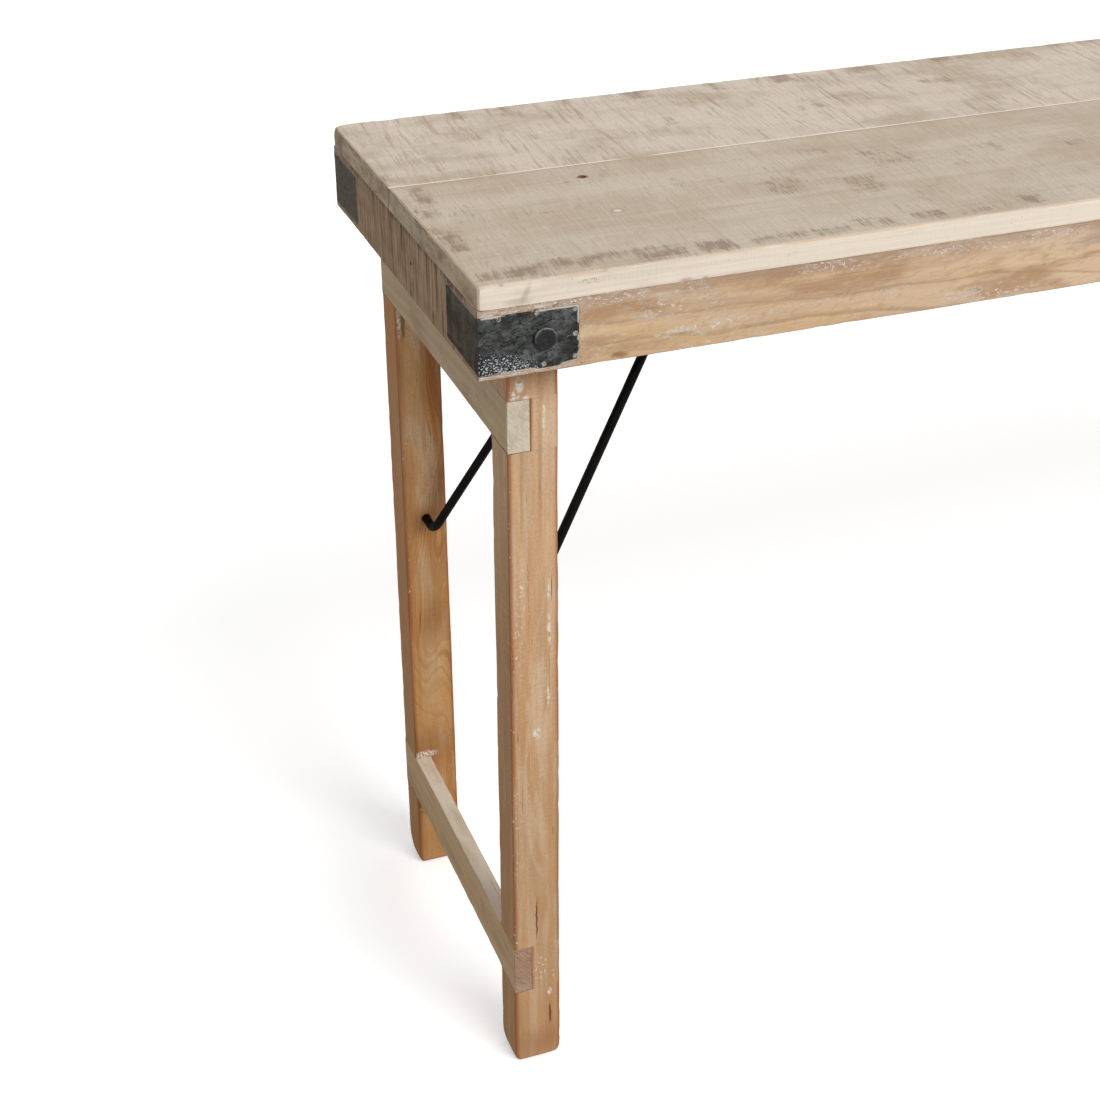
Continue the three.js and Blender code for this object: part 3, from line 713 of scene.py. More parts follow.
# Damp streaks, picks and chips in the top's front edge: distance from the left end and down from the top, half length
# and half height, slant in degrees, colour, strength, and whether it is broken up
EDGE_MARKS = (
    (35, 11, 2, 8, 24, tone(156, 150, 128), 0.45, False), (30, 15, 9, 2.4, 0, tone(176, 168, 144), 0.5, False),
    (84, 7, 8, 2, 0, tone(150, 112, 80), 0.8, True), (157, 18, 5, 2.4, 0, tone(184, 154, 132), 0.8, False),
    (172, 18, 2.4, 1.6, 0, tone(184, 154, 132), 0.8, False), (18, 0.6, 1.6, 1, 0, tone(140, 104, 76), 0.8, False),
    (95, 0.6, 2.2, 1.1, 0, tone(150, 116, 86), 0.7, False), (240, 9, 5, 2, 0, tone(206, 182, 150), 0.6, True),
)
# Pale scuffs across the top: distance from the left end and from the back edge, half length, and slant in degrees
PALE_SCUFFS = ((47, 15, 12, -14), (50.5, 50, 18, 0), (44, 110, 15, 3), (62, 72, 10, -8), (158, 82, 6, -60))


def missed_marks(points, low, high):
    """How much of a board's old surface is left at each point: the largest of the marks' soft boxes, each 1 inside
    and falling to 0 over the mark's edge. low and high are the whole top's corners."""
    total = np.zeros(len(points))
    plan = points[:, :2]
    for end, back, half_length, half_width, strength in MISSED_BY_THE_PLANE:
        half = np.array((half_length, half_width)) * MM
        for turned_round in (False, True):
            inset = np.array((end, back)) * MM
            corner = np.array((high[X], low[Y])) if turned_round else np.array((low[X], high[Y]))
            centre = corner + inset * ((-1, 1) if turned_round else (1, -1))
            beyond = np.abs(plan - centre) - half
            soft = np.clip(0.5 - beyond.max(axis=1) / MARK_EDGE, 0, 1)
            total = np.maximum(total, soft * strength)
    return total


def board_top(wood):
    """Lays the sanded top: greige, banded along the grain and scored across it by the saw, browner in short strokes
    where the plane missed it, with a pale line along the seam and scuffs across it. Returns the patterns that also
    stand out in relief."""
    shades = settings().colours
    board = shades.board
    low, high = CAD_TOP
    bands = wood.noise((0.9, 40, 40), 4, shift=(3, 0, 0))
    wood.base = wood.mix(bands.ramp(0.36, 0.64), tint(board, 0.94, 0.02), tint(board, 1.06, -0.01))
    clouds = wood.noise((11, 16, 16), 4)
    wood.lay(tint(board, 0.8, 0.06), clouds.ramp(0.48, 0.66), 0.65)
    wood.lay(tint(board, 1.14, -0.01), clouds.ramp(0.48, 0.34), 0.55)
    run = wood.noise((5, 190, 40), 4, shift=(8, 0, 2))
    wood.shade(run, board, (0.54, 0.7, 0.72, 0.4))
    behind = wood.part(Y).ramp(SEAM, SEAM + 2 * MM)
    wood.lay(tone(222, 211, 199), behind * clouds.ramp(0.66, 0.42), 0.55)
    scores = wood.noise((640, 22, 40), roughness=0.65, turn=SAW_SLANT)
    wood.shade(scores, board, (0.52, 0.7, 0.7, 0.45), (0.46, 0.32, 1.22, 0.38))
    strokes = wood.noise((330, 44, 40), 4, shift=(0, 5, 0), turn=SAW_SLANT)
    where = wood.noise((13, 15, 9), shift=(9, 2, 0)).ramp(0.44, 0.62)
    wood.lay(tint(board, 0.62, 0.08), strokes.ramp(0.52, 0.68) * where, 0.5)
    pink = wood.noise((260, 17, 40), roughness=0.6, shift=(4, 1, 0), turn=SAW_SLANT)
    gathered = wood.noise((16, 9, 40), shift=(2, 6, 0)).ramp(0.4, 0.6)
    wood.lay(tone(164, 136, 117), pink.ramp(0.53, 0.66) * behind * gathered, 0.6)
    old = wood.value_of("missed")
    bite = wood.noise((430, 58, 40), roughness=0.6, turn=SAW_SLANT)
    along = wood.noise((34, 330, 40), 4, shift=(1, 4, 0))
    patchy = wood.noise((80, 70, 40), shift=(6, 0, 3))
    grip = (old * 0.34 + bite * 0.8 + along * 0.45 + patchy * 0.35 - 0.3).ramp(0.6, 0.86)
    grip = grip * old.ramp(0.02, 0.4)
    wood.lay(tint(shades.scar, 1.5, 0.04), old.ramp(0.25, 0.9) * patchy, 0.75)
    wood.lay(wood.mix(behind, shades.scar, tone(152, 129, 111)), grip, 0.62)
    grit = wood.noise((800, 420, 300), 2, roughness=0.6, shift=(2, 7, 1))
    wood.shade(grit, board, (0.52, 0.7, 0.74, 0.45))
    specks = wood.noise((520, 360, 300), 2, roughness=0.6, shift=(7, 7, 7))
    wood.lay(tone(132, 108, 88), specks.ramp(0.69, 0.75), 0.7)
    off_seam = abs(wood.part(Y) - SEAM)
    off_line = abs(wood.part(Y) - (SEAM - 2.2 * MM))
    broken = wood.noise((14, 1, 1), shift=(5, 0, 0)).ramp(0.28, 0.42)
    brown = wood.part(Y).ramp(SEAM - 16 * MM, SEAM - 3 * MM) * wood.part(Y).ramp(SEAM, SEAM - MM)
    wood.lay(tint(board, 0.72, 0.1), brown * clouds.ramp(0.35, 0.6), 0.5)
    wood.lay(tone(236, 227, 214), off_seam.ramp(1.7 * MM, 0.9 * MM) * broken, 0.95)
    wood.lay(tone(150, 124, 100), off_line.ramp(0.9 * MM, 0.3 * MM) * broken, 0.5)
    scuffed = wood.noise(300, roughness=0.7, shift=(3, 3, 0)).ramp(0.42, 0.56)
    for across, back, half_length, slant in PALE_SCUFFS:
        place = (low[X] + across * MM, high[Y] - back * MM, high[Z])
        scuff = wood.spot(wood.ragged(2 * MM, 90.0), place, mm(0.9, half_length, 4), (0, 0, math.radians(slant)), 0.5)
        wood.lay(shades.filler, scuff * scuffed, 0.75)
    return scores, strokes, grip


def board_edges(wood, on_edge):
    """Lays the top's planed long edges: cream, stained, with the marks listed, and orange where they are worn.
    Returns their fibre."""
    edges = settings().colours.board_edge
    low, high = CAD_TOP
    fibre = wood.noise((7, 330, 330), roughness=0.6)
    cream = wood.mix(fibre.ramp(0.36, 0.64), tint(edges, 0.94, 0.02), tint(edges, 1.05))
    stain = wood.noise((16, 60, 60), 2, shift=(2, 1, 4)).ramp(0.58, 0.72)
    cream = wood.paint(cream, tint(edges, 0.8, 0.03), stain, 0.35)
    # painted light: the edges are made lighter towards the middle of the table, as a pool of light falling there
    middle = abs(wood.part(X)).ramp(high[X] - 60 * MM, high[X] - 500 * MM)
    cream = wood.paint(cream, tint(edges, 1.15), middle, 0.5)
    pits = wood.noise((420, 300, 620), 2, shift=(1, 5, 2)).ramp(0.7, 0.76)
    cream = wood.paint(cream, tone(150, 112, 80), pits, 0.5)
    drip = wood.ragged(2.4 * MM, 110.0)
    picked = wood.noise((700, 300, 900), 2).ramp(0.54, 0.62)
    for across, down, half_length, half_height, slant, shade, strength, rough in EDGE_MARKS:
        place = (low[X] + across * MM, low[Y], high[Z] - down * MM)
        mark = wood.spot(drip, place, mm(half_length, 5, half_height), (0, math.radians(slant), 0), 0.7)
        cream = wood.paint(cream, shade, mark * picked if rough else mark, strength)
    orange = wood.value_of("edge").ramp(0.35, 0.85) * wood.noise((10, 60, 60), shift=(0, 2, 2)).ramp(0.4, 0.6)
    cream = wood.paint(cream, tone(206, 168, 132), orange * wood.part(Z).ramp(low[Z], high[Z]), 0.7)
    wood.lay(cream, on_edge)
    return fibre


def board_ends(wood, on_end):
    """Lays the top's end grain: brown-grey, dirty in clouds, with a crack at the seam. Returns its rings."""
    ends = settings().colours.board_end
    low, high = CAD_TOP
    rings = wood.noise((900, 60, 130), 4, distortion=0.4)
    grain = wood.mix(rings.ramp(0.38, 0.66), tint(ends, 1.12), tint(ends, 0.76, 0.04))
    dirty = wood.noise((30, 26, 70), 4, roughness=0.7, shift=(7, 1, 2))
    grain = wood.paint(grain, tint(ends, 0.48, 0.08), dirty.ramp(0.5, 0.62), 0.78)
    grain = wood.paint(grain, tint(ends, 1.4), dirty.ramp(0.48, 0.38), 0.7)
    crack = wood.spot(wood.ragged(1.4 * MM, 90.0), (low[X], SEAM, high[Z] - 8 * MM), mm(6, 1.5, 12),
                      (math.radians(14), 0, 0))
    grain = wood.paint(grain, tone(52, 38, 30), crack, 0.95)
    greying = wood.noise((30, 22, 60), shift=(1, 6, 0)).ramp(0.46, 0.62)
    grain = wood.paint(grain, tint(ends, 1.15, -0.05), greying, 0.5)
    wood.lay(grain, on_end)
    return rings


def board_finish():
    """Sanded boards, cream along their edges and brown-grey on the end grain, with worn arrises, a nail hole and a
    filled one."""
    shades = settings().colours
    wood = Finish("sanded_board", 0.8, specular=0.2)
    on_end, on_edge, _ = wood.facing()
    low, high = CAD_TOP
    scores, strokes, grip = board_top(wood)
    fibre = board_edges(wood, on_edge)
    rings = board_ends(wood, on_end)
    wood.wear(tint(shades.board_edge, 0.72, 0.13), 0.55, (26, 26, 30))
    rough = wood.ragged(1.8 * MM)
    hole = wood.spot(rough, (low[X] + NAIL_HOLE[0], high[Y] - NAIL_HOLE[1], high[Z]), mm(4.4, 4, 8))
    wood.lay(tone(118, 72, 46), hole, 0.85)
    plug_place = (low[X] + FILLED_HOLE[0], high[Y] - FILLED_HOLE[1], high[Z])
    wood.lay(tone(160, 143, 126), wood.spot(rough, plug_place, mm(5.4, 4.6, 4)), 0.6)
    wood.lay(shades.filler, wood.spot(rough, plug_place, mm(3.4, 2.8, 4)), 0.7)
    wood.bump(scores * 0.6 + grip * -0.5 + fibre * 0.3 + strokes * 0.3 + rings * 0.3, 0.5 * MM, 0.7)
    return wood.done()


def flecks(wood, rates, low, high, where, shift=NO_SHIFT):
    """Small flecks of old white filler where a mask allows them."""
    return wood.noise(rates, 4, roughness=0.72, shift=shift).ramp(low, high) * where


# Where old filler lies on the face of a side apron: distance from the left end, height above its lower edge, half
# length and half height, in millimetres
LIMED_PATCHES = (
    (150, 34, 30, 6), (170, 16, 34, 4), (272, 47, 22, 4), (297, 44, 12, 3), (372, 48, 26, 4), (425, 47, 30, 4),
    (410, 7, 34, 6), (560, 30, 30, 6), (690, 46, 40, 5))


def side_finish():
    """Planed side aprons, tan, with a flame along the grain, greyer above, and flecks of old filler along both
    long edges and in a few patches."""
    shades = settings().colours
    tan = shades.side
    wood = Finish("flamed_apron", 0.74, specular=0.22)
    on_end, _, _ = wood.facing()
    height = wood.part(Z)
    low, high = CAD_APRON
    flame = wood.growth((3, 40, 48), 4.0, (4.5, 16, 15), detail=5.0)
    wood.base = wood.mix(flame.ramp(0.36, 0.62), tint(tan, 0.74, 0.14), tint(tan, 1.16, -0.01))
    hue = wood.noise((3.2, 20, 30), 4, shift=(6, 0, 1))
    wood.lay(tone(216, 182, 134), hue.ramp(0.5, 0.62), 0.55)
    wood.lay(tone(190, 160, 140), hue.ramp(0.48, 0.36), 0.5)
    # painted light: the apron is made lighter towards the middle of the table, as a pool of light falling there
    middle = abs(wood.part(X)).ramp(high[X] - 100 * MM, high[X] - 550 * MM)
    wood.lay(tint(tan, 1.5, -0.05), middle, 0.7)
    veins = wood.growth((5, 60, 110), 5.0, (6, 18, 17), (5, 0, 3))
    wood.shade(veins, tan, (0.52, 0.66, 0.64, 0.55), (0.44, 0.34, 1.32, 0.5))
    broad = wood.noise((5, 22, 26), 4, shift=(4, 0, 7))
    wood.lay(tint(tan, 0.66, 0.17), broad.ramp(0.53, 0.63), 0.75)
    shimmer = wood.noise((130, 60, 330), roughness=0.6, turn=(0, math.radians(24), 0))
    wood.shade(shimmer, tan, (0.53, 0.68, 0.7, 0.4), (0.45, 0.32, 1.28, 0.3))
    dull = broad.ramp(0.52, 0.38) * height.ramp(low[Z] + 14 * MM, high[Z] - 16 * MM)
    wood.lay(tone(180, 157, 143), dull, 0.85)
    fibre = wood.noise((16, 700, 700), roughness=0.65)
    wood.shade(fibre, tan, (0.54, 0.72, 0.6, 0.45), (0.45, 0.3, 1.25, 0.35))
    knots = wood.spot(wood.ragged(6 * MM, 110.0), (low[X] + 106 * MM, low[Y], high[Z] - 49 * MM), mm(6.5, 9, 2),
                      soft=0.5)
    wood.lay(tone(134, 84, 50), knots, 0.7)
    dirt = height.ramp(high[Z] - 12 * MM, high[Z] - 2 * MM) * wood.noise((20, 90, 90))
    wood.lay(tone(162, 134, 118), dirt, 0.9)
    patch = wood.noise((11, 60, 55), 4, shift=(1, 2, 3))
    above = height.ramp(high[Z] - 14 * MM, high[Z] - 3 * MM)
    below = height.ramp(low[Z] + 10 * MM, low[Z] + 1 * MM)
    beside = abs(wood.part(X)).ramp(high[X] - 84 * MM, high[X] - 76 * MM)
    rim = beside * (above | height.ramp(low[Z] + 6 * MM, low[Z] + 2 * MM))
    rough_rim = wood.noise((90, 90, 300), 4, roughness=0.7, shift=(4, 4, 4))
    wood.lay(tone(190, 166, 152), rim * rough_rim.ramp(0.4, 0.6), 0.8)
    wood.lay(tone(112, 70, 48), rim * rough_rim.ramp(0.46, 0.38), 0.75)
    where = (above | below | 0.3) * patch.ramp(0.47, 0.58)
    where = where | rim * 0.8
    for across, up, half_length, half_height in LIMED_PATCHES:
        place = (low[X] + across * MM, low[Y], low[Z] + up * MM)
        limed = wood.spot(wood.ragged(9 * MM, 50.0), place, mm(half_length, 12, half_height), soft=0.7)
        where = where | limed
    white = flecks(wood, (300, 520, 560), 0.535, 0.6, where)
    film = wood.noise((40, 150, 170), shift=(3, 3, 0)).ramp(0.46, 0.66) * where
    wood.lay(tone(212, 198, 186), film, 0.6)
    wood.lay(shades.filler, white, 0.88)
    wood.wear(tint(tan, 0.55, 0.1), 0.5, low=0.6)
    rings = wood.noise((900, 60, 60), distortion=1.0)
    grain = wood.mix(rings.ramp(0.35, 0.65), tint(shades.end, 0.8), tint(shades.end, 1.1))
    wood.lay(grain, on_end)
    wood.bump(fibre * 0.5 + flame * 0.8 + white * 0.5, 0.5 * MM, 0.7)
    return wood.done()


def end_finish():
    """Rough sawn end aprons, brown, with dark streaks where the saw tore across the grain, and worm holes."""
    brown = settings().colours.end
    wood = Finish("rough_sawn_apron", 0.86, specular=0.15)
    low, high = CAD_TOP
    bands = wood.noise((60, 4, 50), 4)
    wood.base = wood.mix(bands.ramp(0.36, 0.64), tint(brown, 0.82, 0.03), tint(brown, 1.15))
    blotch = wood.noise((60, 22, 40), 4, shift=(3, 0, 5))
    wood.shade(blotch, brown, (0.5, 0.64, 0.7, 0.5), (0.48, 0.36, 1.3, 0.5))
    torn = wood.noise((60, 170, 14), 4, roughness=0.66, distortion=0.25, shift=(0, 1.3, 0))
    towards_front = wood.part(Y).ramp(high[Y] - 60 * MM, high[Y] - 190 * MM, 0.3, 1.0)
    where = wood.noise((10, 26, 18), shift=(0, 2.2, 1)).ramp(0.28, 0.46) * towards_front
    mask = torn.ramp(0.52, 0.64) * where
    wood.lay(tint(brown, 0.25, 0.06), mask, 0.8)
    light = torn.ramp(0.48, 0.4) * where
    wood.lay(tint(brown, 1.5), light, 0.65)
    fine = wood.noise((60, 330, 30), 4, roughness=0.7)
    wood.shade(fine, brown, (0.51, 0.64, 0.46, 0.6), (0.45, 0.32, 1.45, 0.6))
    seat = wood.part(Z).ramp(low[Z] - 2 * MM, low[Z] - 6 * MM)
    wood.lay(tone(70, 52, 40), seat.ramp(0.6, 0.1) * fine.ramp(0.4, 0.6), 0.6)
    worms = wood.cells(36).ramp(0.075, 0.05)
    wood.lay(tone(34, 25, 20), worms, 0.95)
    wood.wear(tint(brown, 0.6, 0.1), 0.5)
    wood.bump(torn * 1.0 + fine * 0.5 + mask * -0.8 + worms * -1.5, 0.7 * MM, 0.9)
    return wood.done()


class LegFigure(NamedTuple):
    """How one leg looks: the count of its growth lines a metre across it, how many of them they sway by and the
    rates of that sway, where in the pattern it was cut, how much browner it is, and how its foot is worn, as the
    radii under its outer and its inner side in millimetres."""
    count: float
    sway: float
    sway_rates: tuple
    cut_at: tuple
    brown: float
    foot: tuple


LEG_FIGURES = {
    ("left", "front"): LegFigure(62, 2.8, (15, 15, 2.4), (0, 0, 0), 0.0, (4, 10)),
    ("left", "back"): LegFigure(80, 11, (18, 18, 5), (3, 1, 0.4), 1.0, (26, 5)),
    ("right", "front"): LegFigure(80, 4.5, (18, 18, 3), (7, 2, 0.9), 0.2, (5, 9)),
    ("right", "back"): LegFigure(60, 5.5, (20, 20, 4), (11, 5, 1.7), 0.5, (16, 6)),
}
# Marks on a leg that the photo shows: place across the table and height of the middle, half width and half height,
# in millimetres, and kind
LEG_MARKS = {
    ("left", "front"): (
        (-838.3, 464, 1.4, 14, "filler"), (-838.5, 500, 0.8, 8, "filler"), (-839, 400, 1.2, 8, "filler"),
        (-849, 365, 3.2, 5, "filler"), (-861, 678, 3.2, 6, "filler"), (-856, 667, 2.4, 3, "filler"),
        (-865, 671, 4, 4, "filler"), (-861, 655, 3, 3, "filler"), (-842, 650, 0.7, 14, "filler"),
        (-862, 500, 4, 26, "sparse"), (-864, 450, 4, 30, "sparse"), (-836, 96, 2.2, 9, "sparse"),
        (-838, 78, 2.2, 4, "filler"), (-848, 110, 9, 12, "sparse"),
        (-838, 430, 0.5, 36, "dark"), (-850, 166, 0.9, 22, "crack"), (-838, 51, 1.2, 12, "crack"),
        (-855, 500, 0.5, 50, "dark"), (-866, 250, 0.6, 60, "dark"), (-845, 620, 1.6, 60, "dark"),
        (-860, 596, 1.4, 44, "dark"), (-846, 20, 20, 14, "ruddy"), (-849, 692, 26, 20, "ruddy")),
    ("left", "back"): (
        (-867.8, 609, 1.6, 15, "filler"), (-864, 607, 1.8, 15, "slot"), (-861, 139, 12, 4, "filler"),
        # the stains round the hook and up along the bar are partly painted shadow of the hook and bar, partly brown
        # staining
        (-849.7, 408, 15, 13, "stain"), (-838, 440, 9, 30, "stain"), (-853, 146, 24, 22, "stain"),
        (-846, 300, 9, 20, "stain"), (-840, 600, 12, 120, "stain"), (-836, 640, 6, 100, "stain"),
        (-864, 570, 7, 150, "pale"), (-852, 500, 5, 60, "pale"), (-850, 240, 11, 46, "pale"),
        (-853, 340, 9, 30, "pale")),
    ("right", "front"): ((846, 420, 1.2, 12, "filler"), (853, 250, 0.7, 26, "crack")),
    # the stain round the hook is partly painted shadow of the hook, partly brown staining
    ("right", "back"): ((849.7, 412, 12, 13, "stain"), (858, 560, 1.2, 10, "filler")),
}
# Each kind's colour, its strength and the softness of its outline. Filler has no colour of its own here, and in
# place of the strength the level of noise above which it shows.
MARK_KINDS = {
    "filler": (None, 0.43, 0.5), "sparse": (None, 0.56, 0.7), "dark": (tone(146, 92, 54), 0.4, 0.95),
    # stain is brown staining; round the hooks it also stands for painted shadow of the hook and bar
    "crack": (tone(104, 52, 28), 0.9, 0.35), "stain": (tone(118, 70, 36), 0.42, 0.95),
    "pale": (tone(206, 176, 136), 0.4, 0.95), "ruddy": (tone(140, 84, 54), 0.4, 0.9),
    "slot": (tone(48, 28, 18), 1.0, 0.25),
}


def leg_finish(end, side):
    """Legs with long growth lines that sway: tan and lightly limed on the planed faces, browner on the sawn sides,
    dark orange along the arrises, with flecks of old filler, short checks and the marks listed for the leg."""
    shades, look = settings().colours, LEG_FIGURES[end, side]
    shift = look.cut_at
    wood = Finish(f"leg_{end}_{side}", 0.74, specular=0.22)
    on_side, _, on_end = wood.facing()
    edge = wood.value_of("edge")
    height = wood.part(Z)
    planed_tone = tint(shades.leg, 1.09 - 0.45 * look.brown, 0.46 * look.brown)
    stripes = wood.growth((look.count, look.count, 4), look.sway, look.sway_rates, shift, detail=2.5)
    tone_share = stripes.ramp(0.37 + 0.05 * look.brown, 0.61 - 0.05 * look.brown)
    planed = wood.mix(tone_share, tint(planed_tone, 0.68 - 0.16 * look.brown, 0.22),
                      tint(planed_tone, 1.2 + 0.24 * look.brown, -0.05 - 0.09 * look.brown))
    raw = tint(shades.raw_leg, 1 - 0.08 * look.brown)
    sawn = wood.mix(tone_share, tint(raw, 0.78, 0.06), tint(raw, 1.16, -0.02))
    wood.base = wood.mix(on_side, planed, sawn)
    broad = wood.noise((30, 30, 6), 4, distortion=0.6, shift=shift)
    wood.lay(tint(planed_tone, 0.6, 0.28), broad.ramp(0.5, 0.66), 0.62)
    limed = broad.ramp(0.5, 0.38) * on_side.ramp(0.6, 0.2)
    wood.lay(tone(218, 194, 164), limed, 0.74)
    streak = wood.noise((130, 130, 7), roughness=0.55, distortion=0.2, shift=shift)
    wood.lay(tint(planed_tone, 0.72, 0.32), streak.ramp(0.5, 0.62), 0.66)
    wood.lay(tone(218, 196, 168), height.ramp(0.44, 0.6), 0.28 - 0.28 * look.brown)
    veins = wood.growth((2 * look.count,) * 2 + (8,), 2 * look.sway, look.sway_rates, shift, detail=2.0)
    wood.lay(tone(136, 78, 38), veins.ramp(0.52, 0.62), 0.26 + 0.1 * look.brown)
    fibre = wood.noise((520, 520, 14), roughness=0.6, shift=shift)
    wood.shade(fibre, planed_tone, (0.54, 0.72, 0.62, 0.3), (0.45, 0.3, 1.25, 0.3))
    grit = wood.noise((620, 620, 420), 2, roughness=0.6, shift=shift)
    wood.shade(grit, planed_tone, (0.52, 0.68, 0.68, 0.45), (0.46, 0.34, 1.2, 0.25))
    saw = wood.noise((60, 60, 430), shift=shift, turn=(0, math.radians(5), 0))
    patch = wood.noise((14, 14, 8), shift=shift).ramp(0.46, 0.64)
    wood.lay(tint(planed_tone, 0.7, 0.1), saw.ramp(0.52, 0.7) * patch, 0.4)
    wood.lay(tint(planed_tone, 1.25, -0.04), saw.ramp(0.44, 0.3) * patch, 0.4)
    # painted shade: darker and browner towards the foot, where the light falls off towards the floor
    lower = height.ramp(0.62, 0.02)
    wood.lay(tint(shades.raw_leg, 0.82, 0.08), lower, 0.5)
    checks = wood.noise((300, 300, 13), 2, shift=shift).ramp(0.7, 0.75)
    wood.lay(tone(96, 58, 36), checks, 0.85)
    arris = edge.ramp(0.06, 0.7) * wood.noise((25, 25, 8), shift=shift).ramp(0.22, 0.5)
    wood.lay(tone(152, 88, 46), arris, 0.75)
    near = edge.ramp(0.01, 0.2) | 0.3
    cluster = wood.noise((22, 22, 13), shift=shift).ramp(0.5, 0.6)
    white = flecks(wood, (300, 300, 220), 0.6 + 0.04 * look.brown, 0.65 + 0.04 * look.brown, near * cluster, shift)
    speckle = wood.noise((420, 420, 300), roughness=0.7, shift=shift)
    uneven = wood.ragged(3 * MM, 120.0)
    for across, up, half_width, half_height, kind in LEG_MARKS[end, side]:
        reach = mm(half_width, 60, half_height)
        place = mm(across, WAY[side] * 150, up)
        shade, strength, soft = MARK_KINDS[kind]
        mark = wood.spot(uneven, place, reach, soft=soft) * on_side.ramp(0.6, 0.2)
        if shade is None:
            white = white | mark * speckle.ramp(strength, strength + 0.1)
        else:
            wood.lay(shade, mark, strength)
    wood.lay(shades.filler, white, 0.88)
    rings = wood.noise((260, 260, 900), distortion=1.5)
    grain = wood.mix(rings.ramp(0.35, 0.65), tint(shades.raw_leg, 0.6, 0.05), tint(shades.raw_leg, 0.85, 0.05))
    wood.lay(grain, on_end)
    wood.bump(fibre * 0.4 + stripes * 0.7 + checks * -1.0 + white * 0.5, 0.45 * MM, 0.7)
    return wood.done()


def rail_finish():
    """Pale rails with faint long grain; their ends, seen in the legs' faces, are hatched by the saw."""
    rail = settings().colours.rail
    wood = Finish("pale_rail", 0.78, specular=0.2)
    _, on_end, on_top = wood.facing()
    lower = wood.part(Z).ramp(0.35, 0.3)
    bands = wood.growth((110, 4, 80), 2.2, (9, 2.5, 9), detail=4.0)
    lower_tone = wood.mix(bands.ramp(0.4, 0.6), tint(rail, 0.84, 0.16), tint(rail, 1.0, 0.13))
    wood.base = wood.mix(bands.ramp(0.38, 0.62), tint(rail, 0.86, 0.04), tint(rail, 1.13))
    wood.lay(lower_tone, lower)
    blotch = wood.noise((40, 11, 40), 4, shift=(1, 4, 2))
    wood.shade(blotch, rail, (0.5, 0.64, 0.66, 0.65), (0.46, 0.34, 1.2, 0.45))
    pale = wood.mix(blotch.ramp(0.44, 0.66), tone(222, 208, 190), tone(196, 178, 152))
    wood.lay(pale, on_top * lower, 0.95)
    fibre = wood.noise((600, 16, 600), roughness=0.65)
    wood.lay(tint(rail, 0.7, 0.05), fibre.ramp(0.54, 0.72), 0.4)
    saw = wood.noise((200, 160, 30), turn=(0.5, 0, 0))
    wood.lay(tint(rail, 1.2), saw.ramp(0.54, 0.7), 0.35)
    pores = wood.noise((260, 120, 260), 2).ramp(0.69, 0.73) * lower.ramp(1, 0)
    wood.lay(tint(rail, 0.4, 0.06), pores, 0.65)
    hatch = wood.noise((950, 60, 90), roughness=0.6, turn=(0, math.radians(42), 0))
    cross = wood.noise((700, 60, 70), turn=(0, math.radians(-36), 0), shift=(3, 0, 1))
    grain = wood.mix(hatch.ramp(0.3, 0.7), tone(221, 209, 190), tone(196, 181, 157))
    grain = wood.paint(grain, tone(170, 150, 124), cross.ramp(0.52, 0.72), 0.35)
    grey = wood.noise((60, 20, 34), 4, roughness=0.7, shift=(2.4, 0, 6)).ramp(0.5, 0.66)
    grain = wood.paint(grain, tone(166, 159, 147), grey, 0.45)
    foot_grain = wood.mix(hatch.ramp(0.34, 0.66), tone(172, 142, 118), tone(142, 110, 88))
    foot_grain = wood.paint(foot_grain, tone(168, 152, 138), blotch.ramp(0.5, 0.64), 0.5)
    grain = wood.mix(lower, grain, foot_grain)
    wood.lay(grain, on_end)
    wood.wear(tint(rail, 0.6, 0.16), 0.6, (40, 12, 40), where=on_end.ramp(0.6, 0.2))
    wood.bump(fibre * 0.4 + bands * 0.6 + hatch * 0.3, 0.4 * MM, 0.7)
    return wood.done()


def batten_finish():
    """Rough battens, sawn across, a little darker than the rails."""
    batten = settings().colours.batten
    wood = Finish("rough_batten", 0.82, specular=0.2)
    edge = wood.value_of("edge")
    bands = wood.noise((60, 3, 60), shift=(5, 5, 0))
    wood.base = wood.mix(bands.ramp(0.35, 0.65), tint(batten, 0.85, 0.04), tint(batten, 1.1))
    saw = wood.noise((30, 330, 12), turn=(0, 0, math.radians(8)))
    wood.lay(tint(batten, 0.68, 0.04), saw.ramp(0.52, 0.68), 0.5)
    wood.lay(tint(batten, 0.6, 0.1), edge.ramp(0.6, 1.0), 0.4)
    wood.bump(saw * 0.8 + bands * 0.4, 0.5 * MM, 0.7)
    return wood.done()


